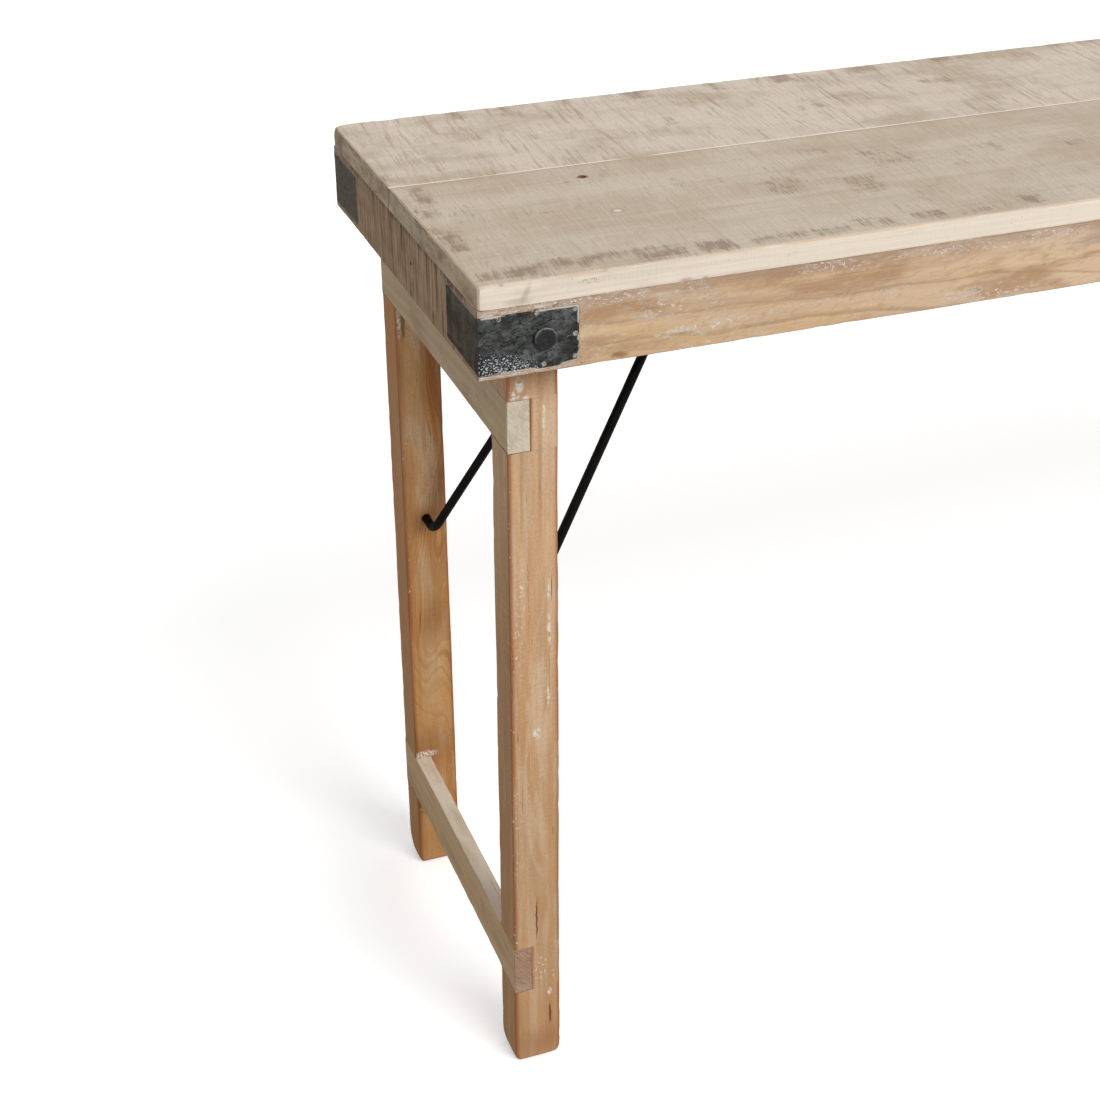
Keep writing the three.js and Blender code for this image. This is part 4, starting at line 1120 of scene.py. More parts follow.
def plate_finish():
    """Blackened sheet iron, scratched and dented, with pale crusted flecks where the mesh says, and bright along
    its cut edges."""
    sheet = settings().iron.plate
    metal = Finish("strap_iron", 0.5, specular=0.0)
    on_end, _, _ = metal.facing()
    cloud = metal.noise(60, 4)
    metal.base = metal.mix(cloud.ramp(0.38, 0.64), tint(sheet, 0.5), tint(sheet, 1.7))
    scratch = metal.noise((110, 110, 560), 4, roughness=0.7, turn=(0, math.radians(14), 0))
    metal.lay(tint(sheet, 0.12), scratch.ramp(0.54, 0.66), 0.8)
    metal.lay(tint(sheet, 3.2), scratch.ramp(0.4, 0.28), 0.6)
    dents = metal.noise((75, 75, 95), 2, distortion=1.6, shift=(2, 3, 1))
    line = abs(dents - 0.5)
    metal.lay(tint(sheet, 0.1), line.ramp(0.022, 0.006), 0.75)
    rust = metal.noise(90, 4, shift=(5, 5, 5)).ramp(0.6, 0.72)
    metal.lay(tone(104, 84, 66), rust, 0.35)
    smooth = metal.mix(cloud.ramp(0.36, 0.66), tone(79, 74, 65), tone(108, 102, 91))
    smooth = metal.mix(metal.part(Y).ramp(0.0, 0.1), smooth, tone(113, 107, 97))
    metal.lay(smooth, on_end)
    metal.lay(tone(62, 57, 50), on_end * scratch.ramp(0.52, 0.66), 0.5)
    crust = metal.noise(950, 4, roughness=0.75)
    clumps = metal.noise((200, 200, 240), 4, shift=(3, 1, 4))
    where = metal.value_of("crust")
    level = (where * 0.5 + clumps) * where.ramp(0.03, 0.3)
    grains = metal.cells((520, 520, 640)).ramp(0.36, 0.26) | crust.ramp(0.56, 0.62)
    flake = grains * level.ramp(0.68, 0.84)
    metal.lay(tone(92, 98, 104), level.ramp(0.3, 0.7), 0.35)
    metal.lay(tone(14, 15, 17), crust.ramp(0.56, 0.48) * level.ramp(0.6, 0.76), 0.85)
    metal.lay(tone(212, 216, 218), flake, 0.85)
    edge = metal.value_of("edge") * metal.noise(60).ramp(0.32, 0.52)
    metal.lay(tone(206, 202, 194), edge.ramp(0.15, 0.7) * on_end.ramp(1, 0, 0.25), 0.85)
    metal.set("Roughness", 0.42 + cloud * 0.25 + flake * 0.3)
    metal.bump(scratch * 0.6 + cloud * 0.5 + dents * 0.6 + flake * 0.5, 0.35 * MM, 0.6)
    return metal.done()


def nail_finish():
    """Dull nail heads, paler than the plate, hammered."""
    metal = Finish("nail_head", 0.55, specular=0.02)
    on_end, _, _ = metal.facing()
    dents = metal.noise(700, 2)
    metal.base = metal.mix(dents.ramp(0.35, 0.65), tone(102, 100, 96), tone(178, 174, 168))
    metal.lay(tone(88, 83, 74), on_end)
    metal.bump(dents, 0.3 * MM, 0.7)
    return metal.done()


def bolt_finish():
    """Blackened bolts, with a painted highlight along the upper part of the head's rim and painted shade round the
    head's outer edge.
    """
    black = settings().iron.bolt
    metal = Finish("black_bolt", 0.42, specular=0.12)
    cloud = metal.noise(190, 4)
    metal.base = metal.mix(cloud.ramp(0.4, 0.7), tint(black, 0.6), tint(black, 1.5))
    # painted shade: the outer edge of the head is darkened
    metal.lay(tint(black, 0.3), metal.value_of("flank"), 0.8)
    # painted highlight: a bright arc along the head's rim, on its upper half
    metal.lay(tint(black, 10), metal.value_of("rim") * cloud.ramp(0.34, 0.5), 0.85)
    metal.set("Roughness", 0.22 + cloud * 0.3)
    metal.bump(cloud, 0.2 * MM, 0.5)
    return metal.done()


def zinc_finish():
    """Dull zinc on washers, nuts, clips and screws, spotted with grey."""
    zinc = settings().iron.clip
    metal = Finish("dull_zinc", 0.42, metallic=0.9)
    cloud = metal.noise(120, 4)
    metal.base = metal.mix(cloud.ramp(0.35, 0.7), tint(zinc, 1.7), tint(zinc, 0.8, 0.04))
    metal.set("Roughness", 0.28 + cloud * 0.35)
    metal.bump(cloud, 0.15 * MM, 0.5)
    return metal.done()


def bar_finish():
    """Satin black bar, slightly uneven as drawn and bent bar is."""
    black = settings().iron.bar
    metal = Finish("black_bar", 0.5, specular=0.06)
    cloud = metal.noise(90, 4)
    metal.base = metal.mix(cloud.ramp(0.4, 0.7), tint(black, 0.55), tint(black, 1.5, 0.05))
    metal.set("Roughness", 0.38 + cloud * 0.3)
    metal.bump(cloud, 0.25 * MM, 0.5)
    return metal.done()


# Timber pieces

# How wide the worn band along an edge is, on boards and straight timbers and on legs
EDGE_BAND, LEG_EDGE_BAND = mm(2.2, 2.6)
# Straying of the top's back edge: length of a swing, seed, and share of the wander
STRAYS = ((95 * MM, 41, 1 / 2), (31 * MM, 43, 1 / 5))
# Over what distance from the seam a board's rounding grows to full, and its shares at the seam and underneath
SEAM_EASE = 6 * MM
SEAM_SHARE, SEAM_CORNER_SHARE, UNDERSIDE_SHARE = 0.1, 0.05, 0.15
# How far the wear of the top's corners reaches, its shares along X, Y and Z, and how much of it shows underneath
CORNER_WEAR_REACH = 5 * MM
CORNER_WEAR_SHARES = (0.6, 0.6, 0.8)
UNDERSIDE_WEAR = 0.5
# How far from a joint, a foot, a housing or a plate a timber is weathered less, how much less at a joint or a plate,
# and how deep into a leg it is at a housing
STILL_REACH, FOOT_STILL_REACH, HOUSING_STILL_REACH, PLATE_STILL_REACH = mm(4, 4, 5, 9)
STILL_SHARE, PLATE_STILL_SHARE = 0.85, 0.8
HOUSING_STILL_DEPTH = 2 * MM
# How far from their ends the rails stay crisp, where the legs take them, and how soon they are rounded after that;
# how much of a rounding is left where a timber stays crisp, and where a leg is housed
CRISP_END, CRISP_FADE = mm(38, 8)
CRISP_SHARE, HOUSED_SHARE, JUST_UNDER = 0.1, 0.04, 0.999
# The ends' rounding on aprons, and how far from its ends a batten's underside slopes
CLOSE_ARRIS, BATTEN_CUT = mm(0.3, 9)
WORN_FOOT_HEIGHT = 16 * MM
WORN_FOOT_SHARE = 0.1
# Half the run over which a housing or a recess steps in
SHOULDER = 0.01 * MM
# The plates' legs along the table's side and end, the room round them in their recesses, and how far they stand proud
PLATE_SIDE_LEG, PLATE_END_LEG, PLATE_ROOM, PLATE_PROUD = mm(75, 71, 0.12, 0.2)
# How far a plate's lower edge rises, over how much of its side leg, and how soon the recess is level again beyond it
PLATE_RISE, PLATE_CUT, RISE_FADE = mm(2, 17, 8)
# How deep an apron's outer skin is that a recess changes, and how far below and above the recess's lower border the
# skin follows the plate
OUTER_SKIN = 2.5 * MM
BORDER_SHIFT = mm(3.4, 14)


def make_board(side, material):
    """One top board: a lattice block whose outer corners are rounded in plan and whose edges are eased, but hardly
    along the seam. The corners of the top are worn back, and the outer edge of the back board strays in and out
    as the saw did."""
    timber = settings().timber
    node = f"top_board_{side}"
    low, high = node_box(node)
    outer = low[Y] if WAY[side] < 0 else high[Y]
    hole = np.array((CAD_TOP[0][X] + NAIL_HOLE[0], CAD_TOP[1][Y] - NAIL_HOLE[1]))
    has_hole = low[Y] < hole[1] < high[Y]
    corner, arris = timber.board_corner, timber.board_arris
    xs, ys = (lines(low[n], high[n], timber.cell, (corner, arris),
                    hole_lines(hole[n], NAIL_HOLE_RADIUS) if has_hole else ()) for n in (X, Y))
    zs = lines(low[Z], high[Z], timber.fine_cell, (arris,))
    points, quads, index = box_shell(xs, ys, zs)
    near_edge = edge_nearness(points, *CAD_TOP, EDGE_BAND)
    outwards = np.clip(1 - np.abs(points[:, Y] - outer) / (high[Y] - low[Y]) * 2, 0, 1)
    on_top = index[:, Z] == index[:, Z].max()
    if has_hole:
        points = round_hole(points, on_top, Z, hole, NAIL_HOLE_RADIUS, -NAIL_HOLE_DEPTH)
    from_seam = np.abs(points[:, Y] - (low[Y] + high[Y] - outer))
    eased = np.clip(from_seam / SEAM_EASE, SEAM_SHARE, 1)
    eased = eased * np.where(points[:, Z] > (low[Z] + high[Z]) / 2, 1, UNDERSIDE_SHARE)
    points = ease(points, low, high, Z, corner, arris, np.where(outwards > 0, 1.0, SEAM_CORNER_SHARE), eased)
    if side == "back":
        stray = sum((1 + field(points * (1, 0, 0), swing, seed)) * part for swing, seed, part in STRAYS)
        points[:, Y] -= timber.wander * stray * outwards ** 4
    points = worn_corners(points, *CAD_TOP, timber.corner_wear)
    still = joint_stillness(points[:, Z] - low[Z])
    points = weather(points, quads, near_edge, 11 if side == "front" else 17, still)
    missed = missed_marks(points, *CAD_TOP) * on_top
    return make_piece(f"{node}_timber", points, quads, material, node, "top_wood", edge=near_edge, missed=missed)


def worn_corners(points, low, high, wear):
    """Draws the outer corners of a block in towards its middle, by the wear at a corner and falling off as a bell
    over a few millimetres, less underneath than on top."""
    centre, half = (low + high) / 2, (high - low) / 2
    gap = np.clip(half - np.abs(points - centre), 0, None)
    closeness = np.exp(-(gap ** 2).sum(axis=1) / CORNER_WEAR_REACH ** 2)
    depth = np.where(points[:, Z] > centre[Z], 1.0, UNDERSIDE_WEAR) * closeness * wear
    return points - np.sign(points - centre) * depth[:, None] * CORNER_WEAR_SHARES


def joint_stillness(distance):
    """How little a timber is weathered at a distance from a joint, so that the joint stays closed."""
    return np.exp(-(np.clip(distance, 0, None) / STILL_REACH) ** 2) * STILL_SHARE


def make_bar(node, axis, corner, arris, material, slot, seed, shape=None, kept=((), (), ()), corner_share=None,
             wear=1.0):
    """A straight timber: a lattice block along one axis with its edges eased and worn. kept are lattice places that
    its shape needs, shape changes its points and says which stay, corner_share says how much of the rounding each
    gets, and wear how much it is weathered."""
    timber = settings().timber
    low, high = node_box(node)
    cells = [timber.cell if n == axis else timber.fine_cell for n in (X, Y, Z)]
    places = [lines(low[n], high[n], cells[n], (arris if n == axis else corner, arris), kept[n]) for n in (X, Y, Z)]
    points, quads, _ = box_shell(*places)
    near_edge = edge_nearness(points, low, high, EDGE_BAND)
    portion = corner_share(points, low, high) if corner_share else 1.0
    points = ease(points, low, high, axis, corner, arris * JUST_UNDER, portion)
    still = 0.0
    if shape:
        points, still = shape(points, low, high)
    points = weather(points, quads, near_edge, seed, np.maximum(still, 1 - wear))
    return make_piece(f"{node}_timber", points, quads, material, node, slot, edge=near_edge)


def recess_lines():
    """Lattice places at the borders of the plates' recesses: a pair for each border, so that it steps."""
    bottom, top = CAD_PLATE[0][Z] - PLATE_ROOM, CAD_PLATE[1][Z] + PLATE_ROOM
    along_x = CAD_TOP[1][X] - PLATE_SIDE_LEG - PLATE_ROOM
    along_y = CAD_TOP[1][Y] - PLATE_END_LEG - PLATE_ROOM
    return [np.add.outer(borders, (-SHOULDER, SHOULDER)).ravel()
            for borders in ((-along_x, along_x), (-along_y, along_y), (bottom, top))]


def plate_rise(from_end, from_side):
    """How far the lower edge of a plate rises: over the last part of its side leg, and steadily on its end leg.
    Beyond the plate it dies away again."""
    on_side = np.clip((from_end - (PLATE_SIDE_LEG - PLATE_CUT)) / PLATE_CUT, 0, 1)
    on_side = on_side * np.clip(1 - (from_end - PLATE_SIDE_LEG - PLATE_ROOM) / RISE_FADE, 0, 1)
    on_end = np.clip(from_side / PLATE_END_LEG, 0, 1)
    on_end = on_end * np.clip(1 - (from_side - PLATE_END_LEG - PLATE_ROOM) / RISE_FADE, 0, 1)
    return np.where(from_end > from_side, on_side, on_end) * PLATE_RISE


def sink_plates(points, low, high):
    """Lets the plates into an apron: its outer faces step in by the plates' seat between the borders of their
    recesses, whose lower one is shifted to follow the plates."""
    seat = settings().iron.plate_thickness - PLATE_PROUD
    outer = CAD_TOP[1]
    bottom, top = CAD_PLATE[0][Z] - PLATE_ROOM, CAD_PLATE[1][Z] + PLATE_ROOM
    from_end, from_side = outer[X] - np.abs(points[:, X]), outer[Y] - np.abs(points[:, Y])
    outside = np.minimum(from_end, from_side) < OUTER_SKIN
    level = (points[:, Z] > bottom) & (points[:, Z] < top)
    beside = (from_end < PLATE_SIDE_LEG + PLATE_ROOM) & (from_side < PLATE_END_LEG + PLATE_ROOM)
    sunk = level & beside & outside
    moved = points.copy()
    for n, gap in ((X, from_end), (Y, from_side)):
        moved[:, n] -= np.sign(points[:, n]) * np.where(sunk, np.clip(seat - gap, 0, None), 0)
    below = points[:, Z] - bottom
    hat = np.clip(1 - np.abs(below) / np.where(below < 0, *BORDER_SHIFT), 0, 1)
    moved[:, Z] += plate_rise(from_end, from_side) * hat * outside
    still = np.exp(-(np.clip(from_end - PLATE_SIDE_LEG, 0, None) / PLATE_STILL_REACH) ** 2)
    still = still * np.exp(-(np.clip(from_side - PLATE_END_LEG, 0, None) / PLATE_STILL_REACH) ** 2) * PLATE_STILL_SHARE
    return moved, np.maximum(still, joint_stillness(high[Z] - points[:, Z]))


def crisp_ends(points, low, high):
    """Full rounding between the legs, and next to none where the legs take a rail."""
    inside = high[Y] - np.abs(points[:, Y])
    return np.clip((inside - CRISP_END) / CRISP_FADE, CRISP_SHARE, 1)


def crisp_top(points, low, high):
    """Full rounding below, and next to none where the boards lie on an apron."""
    return np.where(points[:, Z] > (low[Z] + high[Z]) / 2, CRISP_SHARE, 1)


def cut_batten_ends(points, low, high):
    """Lifts a batten's underside along a slope near both of its ends, in proportion over its thickness."""
    past = np.clip(np.abs(points[:, Y]) - (high[Y] - BATTEN_CUT), 0, None)
    thickness = high[Z] - low[Z]
    points = points.copy()
    points[:, Z] = high[Z] - (high[Z] - points[:, Z]) * (thickness - past) / thickness
    return points, 0.0


def rounded_foot(points, axis, low, high, low_radius, high_radius):
    """Draws a leg's sides in towards its foot along quarter circles, between the places low and high along the
    axis: the side at low by the first radius, and the one at high by the second."""
    def inset(radius):
        return radius - np.sqrt(radius ** 2 - np.clip(radius - points[:, Z], 0, radius) ** 2)

    across = (points[:, axis] - low) / (high - low)
    points[:, axis] = low + inset(low_radius) + across * (high - low - inset(low_radius) - inset(high_radius))


def rounded_plan(points, width, thick):
    """A leg's places in plan, with its corners drawn in near the floor: towards the middle by a share that is the
    fourth power of both places over their halves, and that fades out a little above the floor."""
    half = np.stack((width / 2, np.full(len(points), thick / 2)), axis=1)
    offset = points[:, :Y + 1] - half
    corner = np.prod(np.abs(offset / half), axis=1) ** 4
    near_floor = np.clip(1 - points[:, Z] / WORN_FOOT_HEIGHT, 0, 1) ** 2
    return half + offset * (1 - WORN_FOOT_SHARE * corner * near_floor)[:, None]


def leg_housings(end):
    """The housings in the outer face of a leg, one for each rail: bottom, top and depth."""
    gap = settings().timber.joint_gap
    boxes = [node_box(f"{rail}_{end}") for rail in ("upper_rail", "lower_rail")]
    return [(low[Z] - gap, high[Z] + gap, high[X] - low[X] + gap) for low, high in boxes]


def round_head(points, half_width, pivot_z):
    """Draws the squares of a leg above its pivot in to circles about the pivot, so that its head is a half disc."""
    du, dz = points[:, X] - half_width, np.clip(points[:, Z] - pivot_z, 0, None)
    shrink = np.where(dz > 0, ring(du, dz), 1)
    points[:, X] = half_width + du * shrink
    points[:, Z] = np.where(dz > 0, pivot_z + dz * shrink, points[:, Z])


def leg_stillness(points, housings):
    """How little a leg is weathered, so that it stands on the floor and its joints stay closed."""
    still = np.clip(1 - points[:, Z] / FOOT_STILL_REACH, 0, 1)
    for bottom, top, depth in housings:
        beyond = np.clip(np.maximum(bottom - points[:, Z], points[:, Z] - top), 0, None)
        joint = np.clip(1 - beyond / HOUSING_STILL_REACH, 0, 1) * (points[:, X] < depth + HOUSING_STILL_DEPTH)
        still = np.maximum(still, joint)
    return still


def make_leg(end, side, material, seed):
    """One leg, drawn with u inwards from its outer face, v inwards from its side face, and z up. The top above the
    pivot is a half disc, the inner face leans out towards the foot, the foot is drawn in along quarter circles,
    and the outer face steps in where a rail is housed. A hole goes through at the pivot, and a blind one takes the
    stay's hook."""
    timber, stay = settings().timber, settings().stay
    node = f"leg_{end}_{side}"
    low, high = node_box(node)
    pivot = joint_place(f"leg_fold_{end}")
    outer = np.maximum(np.abs(low), np.abs(high))
    half_width = outer[X] - abs(pivot[X])
    width = 2 * half_width
    foot_width, thick = high[X] - low[X], high[Y] - low[Y]
    pivot_z = pivot[Z]
    top = pivot_z + half_width
    bolt_hole = PIVOT_BOLT / 2 + stay.hole_gap
    hook_z = pivot_z - stay.hook_drop
    hook_u = stay.hook_inset * width / (width + (foot_width - width) * (1 - hook_z / pivot_z))
    hook_hole = stay.bar / 2 + stay.hole_gap
    housings = leg_housings(end)
    dome = half_width * np.tan(np.radians(np.linspace(0, 45, 7)))
    worn_foot = np.array(LEG_FIGURES[end, side].foot) * MM
    foot = np.outer((timber.leg_foot, *worn_foot), 1 - np.cos(np.radians(np.linspace(0, 90, 7)))).ravel()
    shoulders = [z + step for z0, z1, _ in housings for z in (z0, z1) for step in (-SHOULDER, SHOULDER)]
    us = lines(0, width, timber.fine_cell, (timber.leg_arris,), half_width - dome, half_width + dome,
               hole_lines(hook_u, hook_hole), hole_lines(half_width, bolt_hole))
    vs = lines(0, thick, timber.fine_cell, (timber.leg_arris,))
    zs = lines(0, top, timber.cell, (), foot, shoulders, hole_lines(hook_z, hook_hole),
               hole_lines(pivot_z, bolt_hole), pivot_z + dome, top - timber.leg_arris * (1 - np.tan(ARC_ANGLES)))
    lattice, quads, index = box_shell(us, vs, zs)
    middle = np.array((half_width, pivot_z))
    quads = pierce(quads, lattice, index, Y, middle, bolt_hole)
    near_edge = edge_nearness(lattice, np.zeros(3), np.array((width, thick, top)), LEG_EDGE_BAND)
    level = lattice[:, Z]
    square = np.any([(level > z0) & (level < z1) for z0, z1, _ in housings], axis=0) & (lattice[:, X] < half_width)
    points = ease(lattice, np.zeros(3), np.array((width, thick, top)), Y, TINY, timber.leg_arris,
                  arris_share=np.where(square, HOUSED_SHARE, 1.0))
    inner_side = index[:, Y] == index[:, Y].max()
    below = points[:, Z] <= pivot_z
    points = round_hole(points, inner_side | (index[:, Y] == 0), Y, middle, bolt_hole, only=below)
    points = round_hole(points, inner_side, Y, np.array((hook_u, hook_z)), hook_hole, -stay.hole_depth)
    round_head(points, half_width, pivot_z)
    full = width + (foot_width - width) * np.clip(1 - points[:, Z] / pivot_z, 0, 1)
    points[:, X] *= full / width
    for z0, z1, depth in housings:
        housed = (points[:, Z] > z0) & (points[:, Z] < z1)
        points[:, X] = np.where(housed, full - (full - points[:, X]) * (full - depth) / full, points[:, X])
    still = leg_stillness(points, housings)
    rounded_foot(points, X, 0, full, timber.leg_foot, timber.leg_foot)
    rounded_foot(points, Y, 0, thick, *worn_foot)
    points[:, :Y + 1] = rounded_plan(points, full, thick)
    placed = at_corner(end, side, outer, points, points[:, Z])
    quads = wound(quads, WAY[end] != WAY[side])
    placed = weather(placed, quads, near_edge, seed, still)
    return make_piece(f"{node}_timber", placed, quads, material, node, "leg_wood", edge=near_edge)


# Iron pieces

PLATE_CELL, PLATE_CORNER = mm(2, 0.8)
# How far in from its border a plate is ragged and free of dents, how ragged it is, and how far apart its teeth and its
# dents lie
PLATE_RIM, RAGGED, RAGGED_CELL, DENT_CELL = mm(5, 0.3, 7, 14)
# Where the nails of the end leg are driven in: how deep and how wide the sheet is dented
NAIL_DENT, NAIL_DENT_REACH = mm(0.5, 3.2)
# The crust on a plate's side leg: how high it reaches at the corner, how far from there it ends, its fade, and how
# much of it there is at its limit
CRUST_HEIGHT, CRUST_REACH, CRUST_FADE = mm(20, 54, 10)
CRUST_AT_LIMIT = 0.1
# How far a nail's head goes on below the sheet's face
NAIL_SINK = 0.6 * MM
BOLT_HEAD_ROUND, BOLT_HEAD_DOME, BOLT_NECK_BEVEL, BOLT_TIP_BEVEL = mm(1.1, 0.6, 0.2, 0.8)
# Where the rounding of a bolt's head turns dark as painted shade and where a highlight is painted on it, as shares
# of it; how wide the highlight is, and how much of it is left level with the head's middle
SHADED_FLANK_FROM, HIGHLIGHT_AT, HIGHLIGHT_LEVEL = 0.85, 0.6, 0.4
HIGHLIGHT_WIDTH = 0.5 * MM
THREAD_LENGTH, THREAD_PITCH, THREAD_DEPTH = mm(18, 1, 0.3)
WASHER_BEVEL, NUT_BEVEL, NUT_CHAMFER, BAR_BEVEL = mm(0.3, 0.5, 0.7, 0.8)
NAIL_SIDES, BOLT_SIDES, NUT_SIDES = 20, 48, 72
# Nails of a plate's side leg, from the table's end and up from the plate's bottom, in millimetres
SIDE_NAILS = ((15.5, 41.8), (43.5, 42.4), (72.0, 41.6), (72.2, 22.8), (72.2, 5.6), (48.6, 2.8), (15.7, 2.6))
END_NAILS = ((24, 40), (66, 40), (66, 8), (24, 5))


def make_plate(end, side, material, seed):
    """One corner plate: a sheet that follows two lines in plan, its inner and its outer face, each of two straight
    legs and a bend. It is drawn up in z, and its lower edge rises where it was cut by hand."""
    iron = settings().iron
    node = f"corner_plate_{end}_{side}"
    low, high = node_box(node)
    thickness = iron.plate_thickness
    seat = thickness - PLATE_PROUD
    faces = [
        rounded_path([(PLATE_SIDE_LEG, at), (at, at), (at, PLATE_END_LEG)], [radius])
        for at, radius in ((seat, iron.inner_bend), (-PLATE_PROUD, iron.outer_bend))]
    runs = np.concatenate(([0], np.cumsum(np.linalg.norm(np.diff(faces[1], axis=0), axis=1))))
    total = runs[-1]
    flat_low, flat_high = np.array((0, 0, low[Z])), np.array((total, thickness, high[Z]))
    points, quads, _ = box_shell(*[
        lines(flat_low[n], flat_high[n], cell, (iron.plate_arris,), kept)
        for n, cell, kept in ((X, PLATE_CELL, runs), (Y, thickness, ()), (Z, PLATE_CELL, ()))])
    edge = edge_nearness(points, flat_low, flat_high, PLATE_CORNER)
    border = np.minimum.reduce((points[:, X], total - points[:, X], points[:, Z] - low[Z], high[Z] - points[:, Z]))
    rim = np.exp(-(border / PLATE_RIM) ** 2)
    points = ease(points, flat_low, flat_high, Y, PLATE_CORNER, iron.plate_arris)
    run = np.clip(points[:, X], 0, total)
    inner, outside = (np.stack([np.interp(run, runs, face[:, n]) for n in (0, 1)], axis=1) for face in faces)
    outer_part = points[:, Y:Y + 1] / thickness
    plan = inner * (1 - outer_part) + outside * outer_part
    heading = directions(faces[1])
    facing = np.stack([np.interp(run, runs, heading[:, n]) for n in (0, 1)], axis=1)
    outwards = np.stack((-facing[:, 1], facing[:, 0]), axis=1)
    outwards /= np.linalg.norm(outwards, axis=1)[:, None]
    outwards *= np.where((outwards @ (1, 1)) > 0, -1, 1)[:, None]
    rise = plate_rise(plan[:, X], plan[:, Y])
    height = high[Z] - low[Z]
    z = high[Z] - (high[Z] - points[:, Z]) * (height - rise) / height
    placed = at_corner(end, side, CAD_TOP[1], plan, z)
    quads = wound(quads, WAY[end] != WAY[side])
    ragged = (1 + field(placed, RAGGED_CELL, seed)) / 2 * rim * RAGGED
    placed[:, Z] += np.where(points[:, Z] < (low[Z] + high[Z]) / 2, ragged, -ragged)
    dent = iron.plate_dent * (1 - field(placed, DENT_CELL, seed + 1)) / 2 * (1 - rim)
    normal = np.stack((-WAY[end] * outwards[:, 0], -WAY[side] * outwards[:, 1], np.zeros(len(placed))), axis=1)
    for inwards, up in END_NAILS:
        gap = np.hypot(plan[:, Y] - inwards * MM, placed[:, Z] - low[Z] - up * MM)
        dent = dent + NAIL_DENT * np.exp(-(gap / NAIL_DENT_REACH) ** 2) * (plan[:, X] < plan[:, Y])
    placed = placed - normal * (dent * outer_part[:, 0])[:, None]
    above = placed[:, Z] - low[Z] - rise
    limit = CRUST_HEIGHT * np.clip(1 - (plan[:, X] / CRUST_REACH) ** 2, 0, 1) * (plan[:, X] > plan[:, Y])
    crust = np.clip((limit - above) / CRUST_FADE + CRUST_AT_LIMIT, 0, 1)
    return make_piece(f"{node}_iron", placed, quads, material, node, "corner_iron", edge=edge, crust=crust)


def make_nails(end, side, material):
    """The nail heads of one plate: a low dome turned about its nail, (r sin t, rise cos t), at each nail's place.
    Those of the end leg are driven in flush."""
    iron = settings().iron
    node = f"corner_plate_{end}_{side}"
    bottom, outer = node_box(node)[0][Z], CAD_TOP[1]
    angle = np.radians((90, 75, 55, 35, 15))
    radii, rises = iron.nail / 2 * np.sin(angle), iron.nail_rise * np.cos(angle)
    points, faces = turned([radii[0], *radii], [-NAIL_SINK, *rises], NAIL_SIDES)
    ways = (WAY[end], WAY[side])
    shapes = []
    for places, axis, across, flush in ((SIDE_NAILS, Y, X, 0), (END_NAILS, X, Y, iron.nail_rise)):
        inwards, up = np.array(places).T * MM
        centre = np.zeros((len(places), 3))
        centre[:, across] = ways[across] * (outer[across] - inwards)
        centre[:, axis] = ways[axis] * (outer[axis] + PLATE_PROUD - flush)
        centre[:, Z] = bottom + up
        head = np.zeros_like(points)
        head[:, across], head[:, Z], head[:, axis] = points[:, 0], points[:, 1], ways[axis] * points[:, 2]
        shapes.append(copies(head, wound(faces, (axis == Y) == (ways[axis] > 0)), centre))
    points, faces = joined(*shapes)
    return make_piece(f"{node}_nails", points, faces, material, node, "corner_iron", replaced=())


def make_bolt(end, side, material):
    """A coach bolt turned about its own axis: a low head with a rounded rim, a shank, and a threaded end whose
    radius ripples once for each turn of the thread."""
    node = f"pivot_bolt_{end}_{side}"
    low, high = node_box(node)
    total = high[Y] - low[Y]
    head_radius = (high[X] - low[X]) / 2
    neck_place = max(abs(low[Y]), abs(high[Y])) - CAD_TOP[1][Y] - PLATE_PROUD
    flat, shank = head_radius - BOLT_HEAD_ROUND, PIVOT_BOLT / 2
    head = [(flat * a, BOLT_HEAD_DOME * a ** 2) for a in np.linspace(0.05, 1, 7)]
    head += [(flat + BOLT_HEAD_ROUND * math.sin(a), BOLT_HEAD_DOME + BOLT_HEAD_ROUND * (1 - math.cos(a)))
             for a in np.radians((25, 40, 55, 70, 80, 90))]
    thread = [(shank - (THREAD_DEPTH if n % 2 else 0), total - THREAD_LENGTH + n * THREAD_PITCH / 2)
              for n in range(2 * int(THREAD_LENGTH / THREAD_PITCH))]
    profile = [*head, (head_radius, neck_place - BOLT_NECK_BEVEL), (head_radius - BOLT_NECK_BEVEL, neck_place),
               (shank, neck_place), *thread, (shank - BOLT_TIP_BEVEL, total)]
    points, faces = turned(*np.array(profile).T, BOLT_SIDES)
    way = WAY[side]
    # painted shade round the outer edge of the head, and a painted highlight along its rim that fades out below the
    # head's middle
    beyond_flat = np.hypot(points[:, 0], points[:, 1]) - flat
    flank = np.clip((beyond_flat / BOLT_HEAD_ROUND - SHADED_FLANK_FROM) / (1 - SHADED_FLANK_FROM), 0, 1)
    rim = np.exp(-((beyond_flat - BOLT_HEAD_ROUND * HIGHLIGHT_AT) / HIGHLIGHT_WIDTH) ** 2)
    rim = rim * np.clip(HIGHLIGHT_LEVEL + points[:, Y] / head_radius, 0, 1)
    return make_piece(f"{node}_steel", along_bolt(points, low, high, way), wound(faces, way < 0), material, node,
                      "bolt_steel", sharp=50, flank=flank, rim=rim)


def make_washer(end, side, material):
    """A washer: its section, with eased corners, turned about the bolt."""
    node = f"pivot_washer_{end}_{side}"
    low, high = node_box(node)
    rim, bore = (high[X] - low[X]) / 2, PIVOT_BOLT / 2 + settings().stay.hole_gap
    thick, bevel = high[Y] - low[Y], WASHER_BEVEL
    section = np.array((
        (bore, bevel), (bore + bevel, 0), (rim - bevel, 0), (rim, bevel), (rim, thick - bevel),
        (rim - bevel, thick), (bore + bevel, thick), (bore, thick - bevel)))
    points, faces = turned(*section.T, BOLT_SIDES, closed=True)
    return make_piece(f"{node}_steel", along_bolt(points, low, high), faces, material, node, "bolt_steel", sharp=50)


